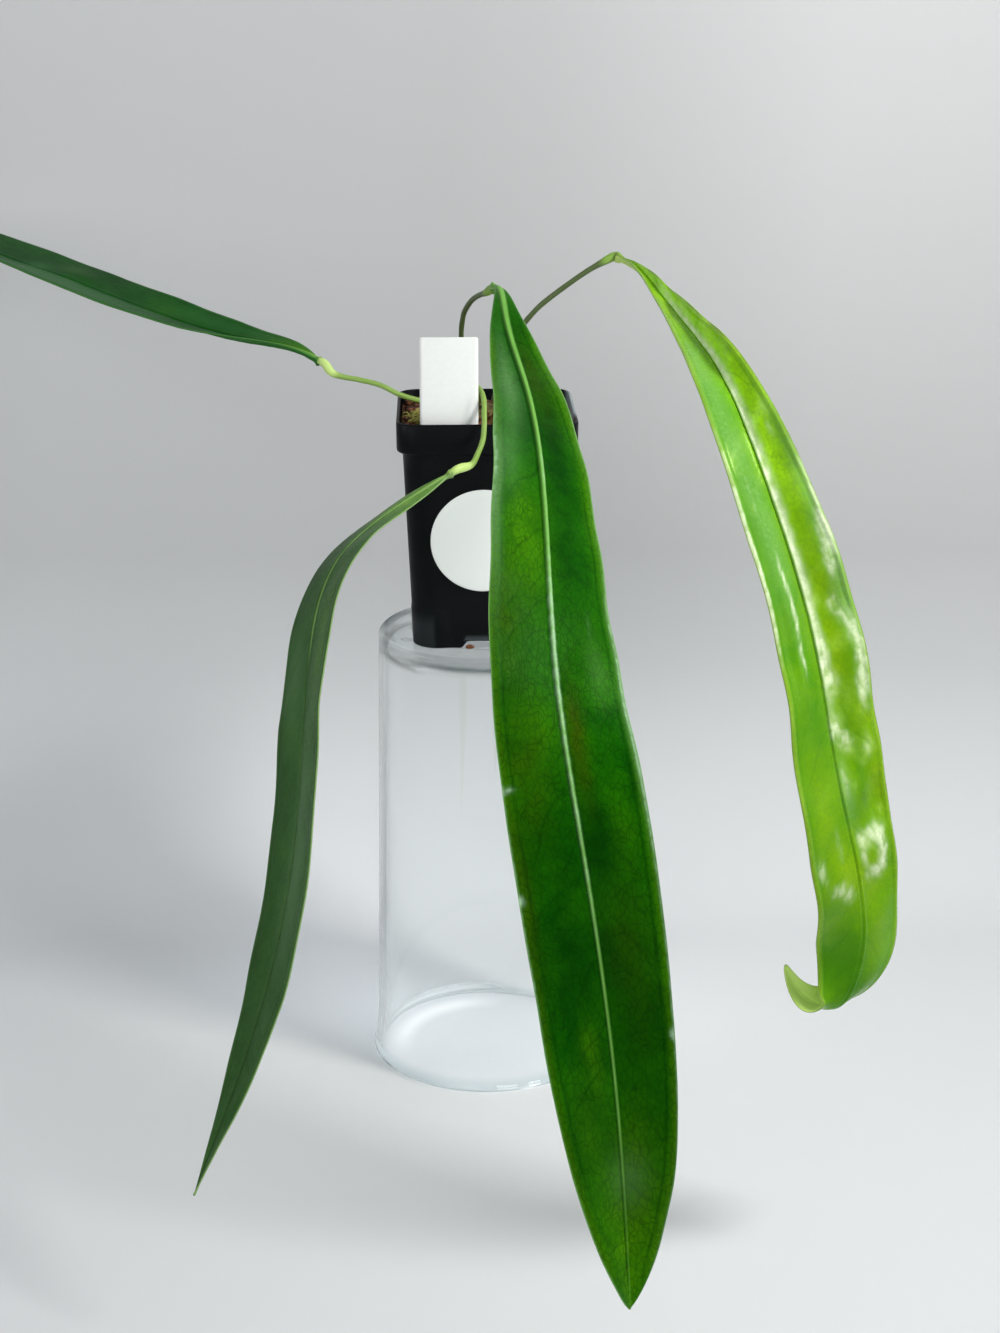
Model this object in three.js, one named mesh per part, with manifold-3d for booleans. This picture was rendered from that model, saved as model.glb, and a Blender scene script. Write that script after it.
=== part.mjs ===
// Potted strap-leaf anthurium: four long pendent leaves on thin stalks, in a square nursery pot
// that stands on an upturned clear glass cylinder. Millimetres, +Z up.
// Everything is placed from the axis of the glass, whose lip stands on z = 0. At the end the whole
// is moved so that the middle of its outer box, seen from above, is at x = 0, y = 0.
import * as THREE from "three";
import { mergeVertices } from "three/addons/utils/BufferGeometryUtils.js";
import Module from "manifold-3d";

const wasm = await Module();
wasm.setup();

// Driving dimensions. x and y are from the axis of the glass, heights from the surface under it.
const GAP = 0.3; // clearance between pieces that touch
const GLASS = {
  height: 172,
  shoulderRadius: 40.5, // outside, at the closed end
  skirtRadius: 42.9, // outside, where the flare would begin if it ran down to the floor
  lipRadius: 44.8,
  flareHeight: 20, // the wall curves out to the lip below this height
  wall: 2.8,
  base: 8, // thickness of the closed end, on top here
  edge: 4.5, // rounding between the side and the closed end
  sides: 48,
};
const POT = {
  height: 84,
  rim: 65, // outside width of the collar at the top
  neck: 60.4, // outside width of the body under the collar
  foot: 54,
  collar: 11,
  wall: 1.2,
  corner: 7,
  footCorner: 9,
  floorLift: 3.2, // the floor stands this far above the feet
  notch: 17, // width of the arch in the middle of each side
  drain: 5, // diameter of a drain hole
  drainSpread: 13, // from the middle to the outer holes, along both sides
};
const SOIL = { level: 252, lumps: 0.9, chips: 34 };
const CROWN = { radius: 9, top: 257, bottom: 226 };
const MOSS = { x: -21.5, y: -13, lift: 3.4, halfWidth: 6.5, halfLength: 9, strands: 12 };
const TAG = { width: 20.6, thickness: 0.6, top: 287, bottom: 224, x: -13.5, y: -28.3, lean: 3.2 };
const LABEL = { diameter: 38, thickness: 0.4, x: -1.5, z: 213.2 };
const LEAF = { thickness: 0.85, margin: 0.62, rows: 46, neck: 1.35, tip: 0.35, pointReach: 0.07 };
const STALK = { sides: 10, step: 3 };

const potBase = GLASS.height + GAP;
const potTop = potBase + POT.height;
const collarBase = potTop - POT.collar;

const FINISH = {
  glass: { color: 0xdfe9e8, roughness: 0.03, metalness: 0, transparent: true, opacity: 0.35 },
  pot: { color: 0x15181a, roughness: 0.42, metalness: 0 },
  label: { color: 0xf2f4f4, roughness: 0.55, metalness: 0 },
  tag: { color: 0xf4f5f4, roughness: 0.5, metalness: 0 },
  soil: { color: 0x4a3524, roughness: 0.95, metalness: 0 },
  moss: { color: 0x8b8650, roughness: 0.95, metalness: 0 },
  crown: { color: 0x5a4a2c, roughness: 0.85, metalness: 0 },
  oliveStalk: { color: 0x4f6220, roughness: 0.4, metalness: 0 },
  paleStalk: { color: 0x9dbb57, roughness: 0.4, metalness: 0 },
  deepLeaf: { color: 0x1f5a0c, roughness: 0.34, metalness: 0 },
  limeLeaf: { color: 0x5f9c12, roughness: 0.24, metalness: 0 },
  dullLeaf: { color: 0x2c4f24, roughness: 0.45, metalness: 0 },
  blueLeaf: { color: 0x1c4a33, roughness: 0.36, metalness: 0 },
};

// The four leaves. A blade's stations run from its neck to its tip: a point on the midrib and the
// direction that the upper face looks. fold turns each half of the blade up from the midrib, in
// degrees, at the places foldAt along the blade. The stalk's points run from the crown.
const LEAVES = [
  {
    name: "front",
    leafFinish: "deepLeaf",
    stalkFinish: "oliveStalk",
    width: 40.1,
    base: 1.15,
    taper: 0.75,
    flat: 1.45,
    skew: 1,
    point: 0,
    fold: [6, 0, 20],
    foldAt: [0, 0.46, 1],
    wave: 0.5,
    quilt: 0.25,
    stations: [
      [2, -39.3, 305.4, -0.32, 0.15, 0.94],
      [3.6, -49, 306.4, -0.16, -0.12, 0.98],
      [5.5, -69.1, 299.2, -0.01, -0.41, 0.91],
      [10.7, -105.1, 283.9, 0.27, -0.35, 0.9],
      [14.3, -158.2, 257.7, 0.44, -0.45, 0.78],
      [16, -209.7, 217.5, 0.26, -0.69, 0.67],
      [23.3, -242, 172, -0.14, -0.88, 0.45],
      [30.3, -262, 119.2, -0.14, -0.97, 0.22],
      [34.4, -271, 54.1, 0.56, -0.83, 0.07],
    ],
    stalk: [
      [-3.5, 2.5, 257.5],
      [-3.8, 2.4, 259.5],
      [-6, 1.6, 265],
      [-8.6, -1, 275],
      [-8.9, -4, 283],
      [-8, -9.5, 291.5],
      [-5.2, -18, 297.8],
      [-1.9, -28, 301.6],
      [-0.2, -32.8, 303],
    ],
  },
  {
    name: "right",
    leafFinish: "limeLeaf",
    stalkFinish: "oliveStalk",
    width: 35.5,
    base: 0.5,
    taper: 0.35,
    flat: 0.85,
    skew: 1.78,
    point: 0.75,
    fold: [52, 47, 27, 5, -30],
    foldAt: [0, 0.23, 0.43, 0.75, 1],
    wave: 0.5,
    quilt: 1.1,
    stations: [
      [47.2, -8, 311.3, -0.18, -0.09, 0.98],
      [51.5, -21.6, 310.4, -0.42, -0.22, 0.88],
      [58.7, -55.8, 304.5, -0.44, -0.22, 0.87],
      [66.9, -100.5, 296.7, -0.54, -0.27, 0.8],
      [73.7, -137, 284.6, -0.31, -0.52, 0.8],
      [83.6, -155.4, 257.6, 0.14, -0.94, 0.32],
      [96.3, -163, 215.8, 0.42, -0.88, 0.22],
      [105.4, -166, 171.3, 0.53, -0.84, 0.11],
      [115.3, -163.8, 128, 0.48, -0.88, -0.03],
      [114.8, -160.8, 103.6, 0.25, -0.95, -0.18],
      [107.2, -157.8, 90.4, 0.2, -0.43, -0.88],
      [99.4, -155.5, 93.5, -0.32, 0.82, -0.47],
      [93.4, -154, 104.4, -0.02, 0.99, -0.11],
    ],
    stalk: [
      [3.5, 1.5, 257.5],
      [3.7, 1.5, 259.5],
      [4.9, 1.2, 265],
      [7.6, 0.4, 273],
      [12.5, -1.2, 284.5],
      [18.5, -2.8, 292.3],
      [26.5, -4, 299],
      [35.3, -5.6, 305.5],
      [41, -6.2, 309],
    ],
  },
  {
    name: "hanging",
    leafFinish: "dullLeaf",
    stalkFinish: "paleStalk",
    width: 31.1,
    base: 1,
    taper: 1.15,
    flat: 1.31,
    skew: 1,
    point: 0,
    fold: [-7.6, 8.9, 2.3],
    foldAt: [0, 0.42, 1],
    wave: 0.4,
    quilt: 0.3,
    stations: [
      [-13, -54, 244.2, -0.21, -0.49, 0.85],
      [-19.8, -57.2, 240.8, -0.31, -0.3, 0.9],
      [-34.9, -66.6, 233, -0.45, -0.04, 0.89],
      [-51.7, -86.2, 221.3, -0.67, -0.09, 0.74],
      [-60.2, -114.6, 192.3, -0.87, -0.37, 0.33],
      [-63.6, -147.4, 147.7, -0.86, -0.36, 0.36],
      [-73.6, -172.5, 102.2, -0.78, -0.44, 0.44],
      [-95.7, -195, 47.1, -0.76, -0.41, 0.5],
    ],
    stalk: [
      [-1.5, -4.5, 257.5],
      [-1.6, -4.8, 259.5],
      [-2.8, -7.5, 263.5],
      [-4.6, -12, 266],
      [-4.2, -19, 267.8],
      [-2.4, -24.5, 267],
      [-1.3, -29, 264.6],
      [-1.2, -33, 261],
      [-1.3, -36.5, 256.8],
      [-1.9, -40, 252.5],
      [-3.6, -44, 249],
      [-5.9, -48.8, 246],
    ],
  },
  {
    name: "left",
    leafFinish: "blueLeaf",
    stalkFinish: "paleStalk",
    width: 38,
    base: 0.88,
    taper: 0.46,
    flat: 1.49,
    skew: 1,
    point: 0,
    fold: [20, 9, 12],
    foldAt: [0, 0.4, 1],
    wave: 0.4,
    quilt: 0.3,
    stations: [
      [-60.3, 1.8, 273, 0.2, -0.2, 0.96],
      [-64.3, 5, 274.6, 0.1, -0.08, 0.99],
      [-87, 21.8, 276.8, 0.09, -0.07, 0.99],
      [-127, 50, 283, 0.09, -0.08, 0.99],
      [-192, 98, 298, 0.14, -0.01, 0.99],
      [-237, 132, 296, -0.32, 0.16, 0.93],
      [-268, 156, 255, -0.76, 0.43, 0.49],
    ],
    stalk: [
      [-9.5, -1.2, 255.4],
      [-13, -1, 256.3],
      [-18, -0.6, 257.2],
      [-24, -0.2, 258.4],
      [-31.2, 0, 260.6],
      [-38.4, 0, 264.2],
      [-46, 0, 266.2],
      [-52, -0.2, 267.4],
      [-55.8, -0.3, 268.9],
    ],
  },
];

// Helpers

/** Seeded random numbers from 0 to 1, the same on every run. */
function seeded(seed) {
  let state = seed;
  return () => {
    state = (state * 16807) % 2147483647;
    return state / 2147483647;
  };
}

/** The value at x on the straight lines between the points (places[i], values[i]). */
function ramp(x, places, values) {
  let i = 0;
  while (i < places.length - 2 && x > places[i + 1]) i += 1;
  const share = (x - places[i]) / (places[i + 1] - places[i]);
  return THREE.MathUtils.lerp(values[i], values[i + 1], THREE.MathUtils.clamp(share, 0, 1));
}

/** One closed geometry from a list of points and a list of triangles. */
function geometryFrom(points, triangles) {
  const geometry = new THREE.BufferGeometry();
  geometry.setAttribute("position", new THREE.Float32BufferAttribute(points.flatMap((p) => p.toArray()), 3));
  geometry.setIndex(triangles.flat());
  return geometry;
}

/** A closed skin over rings of points. Both ends are closed by a fan from the ring's middle. */
function skin(rings) {
  const n = rings[0].length;
  const points = rings.flat();
  const triangles = [];
  for (let k = 0; k < rings.length - 1; k += 1) {
    for (let i = 0; i < n; i += 1) {
      const j = (i + 1) % n;
      const [a, b, c, d] = [k * n + i, k * n + j, (k + 1) * n + j, (k + 1) * n + i];
      triangles.push([a, b, c], [a, c, d]);
    }
  }
  const middle = (ring) => ring.reduce((sum, p) => sum.add(p), new THREE.Vector3()).divideScalar(n);
  const start = points.push(middle(rings[0])) - 1;
  const end = points.push(middle(rings.at(-1))) - 1;
  const last = (rings.length - 1) * n;
  for (let i = 0; i < n; i += 1) {
    const j = (i + 1) % n;
    triangles.push([start, j, i], [end, last + i, last + j]);
  }
  return geometryFrom(points, triangles);
}

/** A closed slab between two grids of points of the same size, both split along the same diagonals. */
function slab(top, bottom) {
  const rows = top.length;
  const columns = top[0].length;
  const under = rows * columns;
  const at = (row, column) => row * columns + column;
  const triangles = [];
  for (let r = 0; r < rows - 1; r += 1) {
    for (let c = 0; c < columns - 1; c += 1) {
      const [a, b, d, e] = [at(r, c), at(r + 1, c), at(r, c + 1), at(r + 1, c + 1)];
      triangles.push([a, b, d], [b, e, d]);
      triangles.push([a + under, d + under, b + under], [b + under, d + under, e + under]);
    }
  }
  const edge = [];
  for (let c = 0; c < columns - 1; c += 1) edge.push(at(0, c));
  for (let r = 0; r < rows - 1; r += 1) edge.push(at(r, columns - 1));
  for (let c = columns - 1; c > 0; c -= 1) edge.push(at(rows - 1, c));
  for (let r = rows - 1; r > 0; r -= 1) edge.push(at(r, 0));
  edge.forEach((p, i) => {
    const q = edge[(i + 1) % edge.length];
    triangles.push([p, q, q + under], [p, q + under, p + under]);
  });
  return geometryFrom([...top.flat(), ...bottom.flat()], triangles);
}

/** A round tube along a curve, with its radius a function of the share of the way along it. */
function tube(curve, radiusAt, sides = STALK.sides, step = STALK.step) {
  const steps = Math.max(6, Math.round(curve.getLength() / step));
  const frames = curve.computeFrenetFrames(steps);
  const rings = [];
  for (let k = 0; k <= steps; k += 1) {
    const centre = curve.getPointAt(k / steps);
    const radius = radiusAt(k / steps);
    const ring = [];
    for (let i = 0; i < sides; i += 1) {
      const angle = (2 * Math.PI * i) / sides;
      ring.push(
        centre
          .clone()
          .addScaledVector(frames.normals[k], radius * Math.cos(angle))
          .addScaledVector(frames.binormals[k], radius * Math.sin(angle)),
      );
    }
    rings.push(ring);
  }
  return skin(rings);
}

/** A ring of points round a square with rounded corners, anticlockwise from above. */
function squareRing(half, corner, z, arcSteps = 5) {
  const ring = [];
  for (let side = 0; side < 4; side += 1) {
    for (let i = 0; i <= arcSteps; i += 1) {
      const angle = (Math.PI / 2) * (side + i / arcSteps);
      const sx = [1, -1, -1, 1][side];
      const sy = [1, 1, -1, -1][side];
      const x = sx * (half - corner) + corner * Math.cos(angle);
      const y = sy * (half - corner) + corner * Math.sin(angle);
      ring.push(new THREE.Vector3(x, y, z));
    }
  }
  return ring;
}

/** The solid of a closed geometry, for cutting and joining. */
function solid(geometry) {
  const bare = geometry.clone();
  bare.deleteAttribute("normal");
  bare.deleteAttribute("uv");
  const merged = mergeVertices(bare, 1e-4);
  const mesh = new wasm.Mesh({
    numProp: 3,
    vertProperties: new Float32Array(merged.attributes.position.array),
    triVerts: new Uint32Array(merged.index.array),
  });
  return new wasm.Manifold(mesh);
}

/** The geometry of a solid. */
function geometryOf(body) {
  const mesh = body.getMesh();
  const geometry = new THREE.BufferGeometry();
  geometry.setAttribute("position", new THREE.BufferAttribute(new Float32Array(mesh.vertProperties), 3));
  geometry.setIndex(new THREE.BufferAttribute(new Uint32Array(mesh.triVerts), 1));
  return geometry;
}

/** Natural cubic curve through rows of numbers, by the chord between their first three. */
function smoothRows(rows) {
  const count = rows.length;
  const width = rows[0].length;
  const place = [0];
  for (let i = 1; i < count; i += 1) {
    place.push(place[i - 1] + Math.hypot(...[0, 1, 2].map((a) => rows[i][a] - rows[i - 1][a])));
  }
  const total = place[count - 1];
  const knots = place.map((p) => p / total);
  const bends = rows.map(() => new Array(width).fill(0));
  const upper = new Array(count).fill(0);
  for (let i = 1; i < count - 1; i += 1) {
    const before = knots[i] - knots[i - 1];
    const after = knots[i + 1] - knots[i];
    const pivot = 2 * (before + after) - before * upper[i - 1];
    upper[i] = after / pivot;
    for (let a = 0; a < width; a += 1) {
      const slopeAfter = (rows[i + 1][a] - rows[i][a]) / after;
      const slopeBefore = (rows[i][a] - rows[i - 1][a]) / before;
      bends[i][a] = (6 * (slopeAfter - slopeBefore) - before * bends[i - 1][a]) / pivot;
    }
  }
  for (let i = count - 2; i > 0; i -= 1) {
    for (let a = 0; a < width; a += 1) bends[i][a] -= upper[i] * bends[i + 1][a];
  }
  return (t) => {
    let i = 0;
    while (i < count - 2 && t > knots[i + 1]) i += 1;
    const h = knots[i + 1] - knots[i];
    const q = (t - knots[i]) / h;
    const p = 1 - q;
    const value = rows[i].map(
      (row, a) =>
        p * row +
        q * rows[i + 1][a] +
        (((p ** 3 - p) * bends[i][a] + (q ** 3 - q) * bends[i + 1][a]) * h * h) / 6,
    );
    const slope = rows[i].map(
      (row, a) =>
        (rows[i + 1][a] - row) / h +
        (((1 - 3 * p * p) * bends[i][a] + (3 * q * q - 1) * bends[i + 1][a]) * h) / 6,
    );
    return { value, slope, length: total };
  };
}

// Leaves

/** The share of the full width at t along a blade: zero at both ends, one at its widest. skew moves the
 * widest place towards the tip and point draws the tip out thin. */
function outline(t, leaf) {
  const place = t ** leaf.skew;
  const peak = leaf.base / (leaf.base + leaf.taper);
  const top = peak ** leaf.base * (1 - peak) ** leaf.taper;
  const rise = Math.min(1, (place ** leaf.base * (1 - place) ** leaf.taper) / top);
  const thinning = 1 - leaf.point * Math.exp(-(((1 - t) / LEAF.pointReach) ** 1.3));
  return (1 - (1 - rise) ** leaf.flat) * thinning;
}

/** The midrib's point, its directions along, across and out of the face, and the half width at t. */
function bladeFrame(leaf, t) {
  const { value, slope, length } = leaf.rows(t);
  const centre = new THREE.Vector3(...value.slice(0, 3));
  const along = new THREE.Vector3(...slope.slice(0, 3)).normalize();
  const face = new THREE.Vector3(...value.slice(3));
  face.addScaledVector(along, -face.dot(along)).normalize();
  const across = new THREE.Vector3().crossVectors(face, along);
  const neck = LEAF.neck * Math.exp(-t / 0.02) + LEAF.tip * Math.exp(-(1 - t) / 0.01);
  const half = Math.max((leaf.width / 2) * outline(t, leaf), neck);
  return { centre, along, face, across, half, length };
}

/** A blade: a waved, folded slab with a raised midrib that thins out towards the tip. */
function blade(leaf) {
  const grid = [];
  for (let k = 0; k <= LEAF.rows; k += 1) {
    const s = k / LEAF.rows;
    const t = THREE.MathUtils.lerp(s, 0.5 - 0.5 * Math.cos(Math.PI * s), 0.55);
    const frame = bladeFrame(leaf, t);
    const fold = THREE.MathUtils.degToRad(ramp(t, leaf.foldAt, leaf.fold));
    const ribHalf = Math.min(0.5 + 1.1 * (1 - t), 0.45 * frame.half);
    const rib = ribHalf / frame.half;
    const shares = [0.25, 0.55, 0.8, 1].map((share) => rib + (1 - rib) * share);
    const columns = [...shares.map((u) => -u).reverse(), -rib, 0, rib, ...shares];
    const ends = Math.min(1, t / 0.12, (1 - t) / 0.08);
    const row = columns.map((u) => {
      const out = Math.abs(u);
      const ripple = Math.sin(0.055 * frame.length * t * Math.PI + (u > 0 ? 1.3 : 0));
      const bulge = Math.sin(Math.PI * out) * Math.sin(0.085 * frame.length * t * Math.PI + 2.1 * u);
      const lift =
        frame.half * out * Math.sin(fold) +
        ends * (leaf.wave * out * out * ripple + (u > 0 ? leaf.quilt : 0.4 * leaf.quilt) * bulge);
      return frame.centre
        .clone()
        .addScaledVector(frame.across, frame.half * u * Math.cos(fold))
        .addScaledVector(frame.face, lift);
    });
    const thickness = columns.map((u) => {
      const plain = THREE.MathUtils.lerp(LEAF.thickness, LEAF.margin, Math.abs(u));
      return u === 0 ? plain + 1.5 * (1 - t) ** 1.5 : plain;
    });
    grid.push({ row, thickness });
  }
  const side = (sign) =>
    grid.map(({ row, thickness }, k) => {
      const before = grid[Math.max(0, k - 1)].row;
      const after = grid[Math.min(LEAF.rows, k + 1)].row;
      return row.map((point, c) => {
        const down = new THREE.Vector3().subVectors(after[c], before[c]);
        const right = row[Math.min(c + 1, row.length - 1)].clone().sub(row[Math.max(c - 1, 0)]);
        const normal = down.cross(right).normalize();
        return point.clone().addScaledVector(normal, (sign * thickness[c]) / 2);
      });
    });
  return slab(side(1), side(-1));
}

/** A leaf stalk: a thin tube from the crown, swollen at its base and in the knuckle at the blade. */
function stalk(leaf) {
  const start = bladeFrame(leaf, 0);
  const back = (distance) => start.centre.clone().addScaledVector(start.along, -distance);
  const points = leaf.stalk.map((p) => new THREE.Vector3(...p));
  const curve = new THREE.CatmullRomCurve3([...points, back(2.6), back(GAP)], false, "centripetal");
  const knuckle = 7 / curve.getLength();
  const radiusAt = (share) => {
    const sheath = 0.55 * Math.exp(-share / 0.06);
    const swelling = 0.6 * Math.exp(-(((1 - share - knuckle * 0.75) / knuckle) ** 2) * 2);
    return 0.98 + sheath + swelling;
  };
  return tube(curve, radiusAt);
}

// Pot, glass and what is in the pot

/** Upturned glass cylinder: a closed end on top, an open mouth below and a flat lip to stand on. */
function glassStand() {
  const { height, lipRadius, skirtRadius, shoulderRadius, flareHeight, wall, base, edge, sides } = GLASS;
  const lip = 0.6;
  const profile = [new THREE.Vector2(0, height - base)];
  const innerShoulder = shoulderRadius - wall;
  const arc = (cx, cz, radius, from, to, steps) => {
    for (let i = 0; i <= steps; i += 1) {
      const angle = THREE.MathUtils.lerp(from, to, i / steps);
      profile.push(new THREE.Vector2(cx + radius * Math.cos(angle), cz + radius * Math.sin(angle)));
    }
  };
  const spread = lipRadius - skirtRadius;
  const outside = (z) =>
    THREE.MathUtils.lerp(skirtRadius, shoulderRadius, z / height) +
    spread * Math.max(0, 1 - z / flareHeight) ** 2;
  const stops = [flareHeight, 13, 8, 4];
  arc(innerShoulder - 5, height - base - 5, 5, Math.PI / 2, 0, 4);
  for (const z of stops) profile.push(new THREE.Vector2(outside(z) - wall, z));
  profile.push(new THREE.Vector2(lipRadius - wall + 0.1, lip));
  profile.push(new THREE.Vector2(lipRadius - wall + lip, 0));
  profile.push(new THREE.Vector2(lipRadius - lip, 0));
  profile.push(new THREE.Vector2(lipRadius - 0.1, lip * 0.8));
  for (const z of [...stops].reverse()) profile.push(new THREE.Vector2(outside(z), z));
  arc(shoulderRadius - edge, height - edge, edge, 0, Math.PI / 2, 5);
  profile.push(new THREE.Vector2(0, height));
  const lathe = new THREE.LatheGeometry(profile, sides);
  lathe.rotateX(Math.PI / 2);
  return geometryOf(solid(lathe));
}

/** Half the outside width of the pot's body, under the collar, at height z. */
function bodyHalf(z) {
  return THREE.MathUtils.lerp(POT.foot, POT.neck, (z - potBase) / (collarBase - potBase)) / 2;
}

/** Square tapered shell with a proud collar, a lifted floor, an arch in each side and drain holes. */
function pot() {
  const { rim, wall, corner, footCorner, floorLift } = POT;
  const floor = potBase + floorLift;
  const round = footCorner - 1;
  const shell = skin([
    squareRing(bodyHalf(floor) - wall, round, floor),
    squareRing(bodyHalf(potBase) - wall, round, potBase),
    squareRing(bodyHalf(potBase), footCorner, potBase),
    squareRing(bodyHalf(collarBase), corner, collarBase),
    squareRing(rim / 2 - 0.3, corner, collarBase),
    squareRing(rim / 2 - 0.1, corner, potTop - 0.8),
    squareRing(rim / 2 - 0.5, corner, potTop),
    squareRing(rim / 2 - wall, corner, potTop),
    squareRing(rim / 2 - wall - 0.3, corner, collarBase + wall),
    squareRing(bodyHalf(collarBase) - wall, corner - 1, collarBase + wall),
    squareRing(bodyHalf(floor) - wall, round, floor + wall),
  ]);
  let body = solid(shell);
  for (let side = 0; side < 2; side += 1) {
    const arch = new THREE.BoxGeometry(POT.notch, 2 * rim, 2 * (floorLift - 0.4));
    arch.translate(0, 0, potBase);
    arch.rotateZ((side * Math.PI) / 2);
    body = body.subtract(solid(arch));
  }
  for (const [sx, sy] of [[0, 0], [1, 1], [-1, 1], [1, -1], [-1, -1]]) {
    const hole = new THREE.CylinderGeometry(POT.drain / 2, POT.drain / 2, 8, 16);
    hole.rotateX(Math.PI / 2);
    hole.translate(sx * POT.drainSpread, sy * POT.drainSpread, floor);
    body = body.subtract(solid(hole));
  }
  return geometryOf(body);
}

/** Height of the bark's surface, a sum of slow waves over x and y. */
function soilHeight(x, y) {
  const waves = Math.sin(x * 0.31 + 1) * Math.cos(y * 0.27) + 0.6 * Math.sin(x * 0.72 - y * 0.58);
  return SOIL.level + SOIL.lumps * waves;
}

/** Bark mix: a block that fills the pot, with chips raised from its top and holes for crown and tag. */
function substrate() {
  const clear = POT.wall + GAP;
  const low = potBase + POT.floorLift + POT.wall + GAP;
  const step = collarBase + POT.wall + GAP;
  const topHalf = POT.rim / 2 - clear - 0.3;
  const rings = [
    squareRing(bodyHalf(low) - clear - 0.1, POT.footCorner - 1, low),
    squareRing(bodyHalf(collarBase) - clear, POT.corner - 1, step),
    squareRing(topHalf, POT.corner, step),
  ];
  for (const share of [1, 0.86, 0.7, 0.52, 0.34, 0.16]) {
    const ring = squareRing(topHalf * share, POT.corner * share, 0);
    rings.push(ring.map((p) => p.setZ(soilHeight(p.x, p.y))));
  }
  let body = solid(skin(rings));
  const random = seeded(11);
  for (let i = 0; i < SOIL.chips; i += 1) {
    const x = (random() - 0.5) * 50;
    const y = (random() - 0.5) * 50;
    const chip = new THREE.BoxGeometry(3 + 4 * random(), 2.5 + 2 * random(), 2 + 1.2 * random());
    chip.rotateX(0.5 * (random() - 0.5));
    chip.rotateY(0.5 * (random() - 0.5));
    chip.rotateZ(Math.PI * random());
    chip.translate(x, y, soilHeight(x, y) - 0.1);
    body = body.add(solid(chip));
  }
  const wellHeight = 60;
  const well = new THREE.CylinderGeometry(CROWN.radius + GAP, CROWN.radius + GAP, wellHeight, 24);
  well.rotateX(Math.PI / 2);
  well.translate(0, 0, CROWN.bottom - GAP + wellHeight / 2);
  const slotHeight = 90;
  const slot = new THREE.BoxGeometry(TAG.width + 2 * GAP, TAG.thickness + 2 * GAP, slotHeight);
  placeTag(slot, slotHeight / 2 - GAP);
  return geometryOf(body.subtract(solid(well)).subtract(solid(slot)));
}

/** Leans a tag-shaped piece like the tag and puts its middle at the given height above the tag's foot. */
function placeTag(geometry, above) {
  const lean = THREE.MathUtils.degToRad(TAG.lean);
  geometry.translate(0, 0, above);
  geometry.rotateX(lean);
  geometry.translate(TAG.x, TAG.y + (SOIL.level - TAG.bottom) * Math.tan(lean), TAG.bottom);
}

/** Plant tag: a thin plastic strip with a soft crease near its right edge, pushed into the bark. */
function tag() {
  const length = TAG.top - TAG.bottom;
  const shape = new THREE.Shape();
  const half = TAG.width / 2;
  const corner = 0.8;
  const point = { inset: 4, height: 7 };
  shape.moveTo(-half + point.inset, 0);
  shape.lineTo(half - point.inset, 0);
  shape.lineTo(half, point.height);
  shape.lineTo(half, length - corner);
  shape.quadraticCurveTo(half, length, half - corner, length);
  shape.lineTo(-half + corner, length);
  shape.quadraticCurveTo(-half, length, -half, length - corner);
  shape.lineTo(-half, point.height);
  shape.closePath();
  const strip = new THREE.ExtrudeGeometry(shape, {
    depth: TAG.thickness,
    bevelEnabled: false,
    curveSegments: 3,
  });
  strip.translate(0, 0, -TAG.thickness / 2);
  strip.rotateX(Math.PI / 2);
  placeTag(strip, 0);
  return strip;
}

/** Round paper sticker, lying flat on the front wall of the pot. */
function label() {
  const slope = (bodyHalf(potTop) - bodyHalf(potBase)) / POT.height;
  const disc = new THREE.CylinderGeometry(LABEL.diameter / 2, LABEL.diameter / 2, LABEL.thickness, 48);
  const lift = LABEL.thickness / 2 + GAP;
  disc.rotateX(Math.atan(slope));
  disc.translate(LABEL.x, -bodyHalf(LABEL.z) - lift, LABEL.z);
  return disc;
}

/** Crown: the short thick stem that the leaf stalks grow from, sunk in the bark. */
function crown() {
  const { radius, top, bottom } = CROWN;
  const profile = [
    [0, bottom],
    [radius * 0.6, bottom],
    [radius, bottom + 5],
    [radius, top - 3],
    [radius * 0.93, top - 1],
    [radius * 0.78, top],
    [0, top],
  ].map(([r, z]) => new THREE.Vector2(r, z));
  const lathe = new THREE.LatheGeometry(profile, 20);
  lathe.rotateX(Math.PI / 2);
  return geometryOf(solid(lathe));
}

/** Moss: a tangle of short curled strands joined over a low pad, between the crown and the rim. */
function moss() {
  const random = seeded(5);
  const pad = new THREE.SphereGeometry(1, 16, 8);
  pad.scale(MOSS.halfWidth, MOSS.halfLength, 1.1);
  pad.translate(MOSS.x, MOSS.y, SOIL.level + MOSS.lift);
  let body = solid(pad);
  for (let i = 0; i < MOSS.strands; i += 1) {
    const angle = 2 * Math.PI * random();
    const reach = 3 + 3 * random();
    const x = MOSS.x + 3 * (random() - 0.5);
    const y = MOSS.y + 5 * (random() - 0.5);
    const centre = new THREE.Vector3(x, y, SOIL.level + MOSS.lift);
    const out = new THREE.Vector3(Math.cos(angle), Math.sin(angle), 0);
    const curve = new THREE.QuadraticBezierCurve3(
      centre,
      centre.clone().addScaledVector(out, reach * 0.6).setZ(centre.z + 1.6 + random()),
      centre.clone().addScaledVector(out, reach).setZ(centre.z + 0.8 * random()),
    );
    body = body.add(solid(tube(curve, (share) => 0.55 - 0.15 * share, 5, 1.5)));
  }
  return geometryOf(body);
}

// The whole plant

const group = new THREE.Group();

function add(name, geometry, finish) {
  const mesh = new THREE.Mesh(geometry, new THREE.MeshStandardMaterial(FINISH[finish]));
  mesh.name = name;
  group.add(mesh);
}

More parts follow.
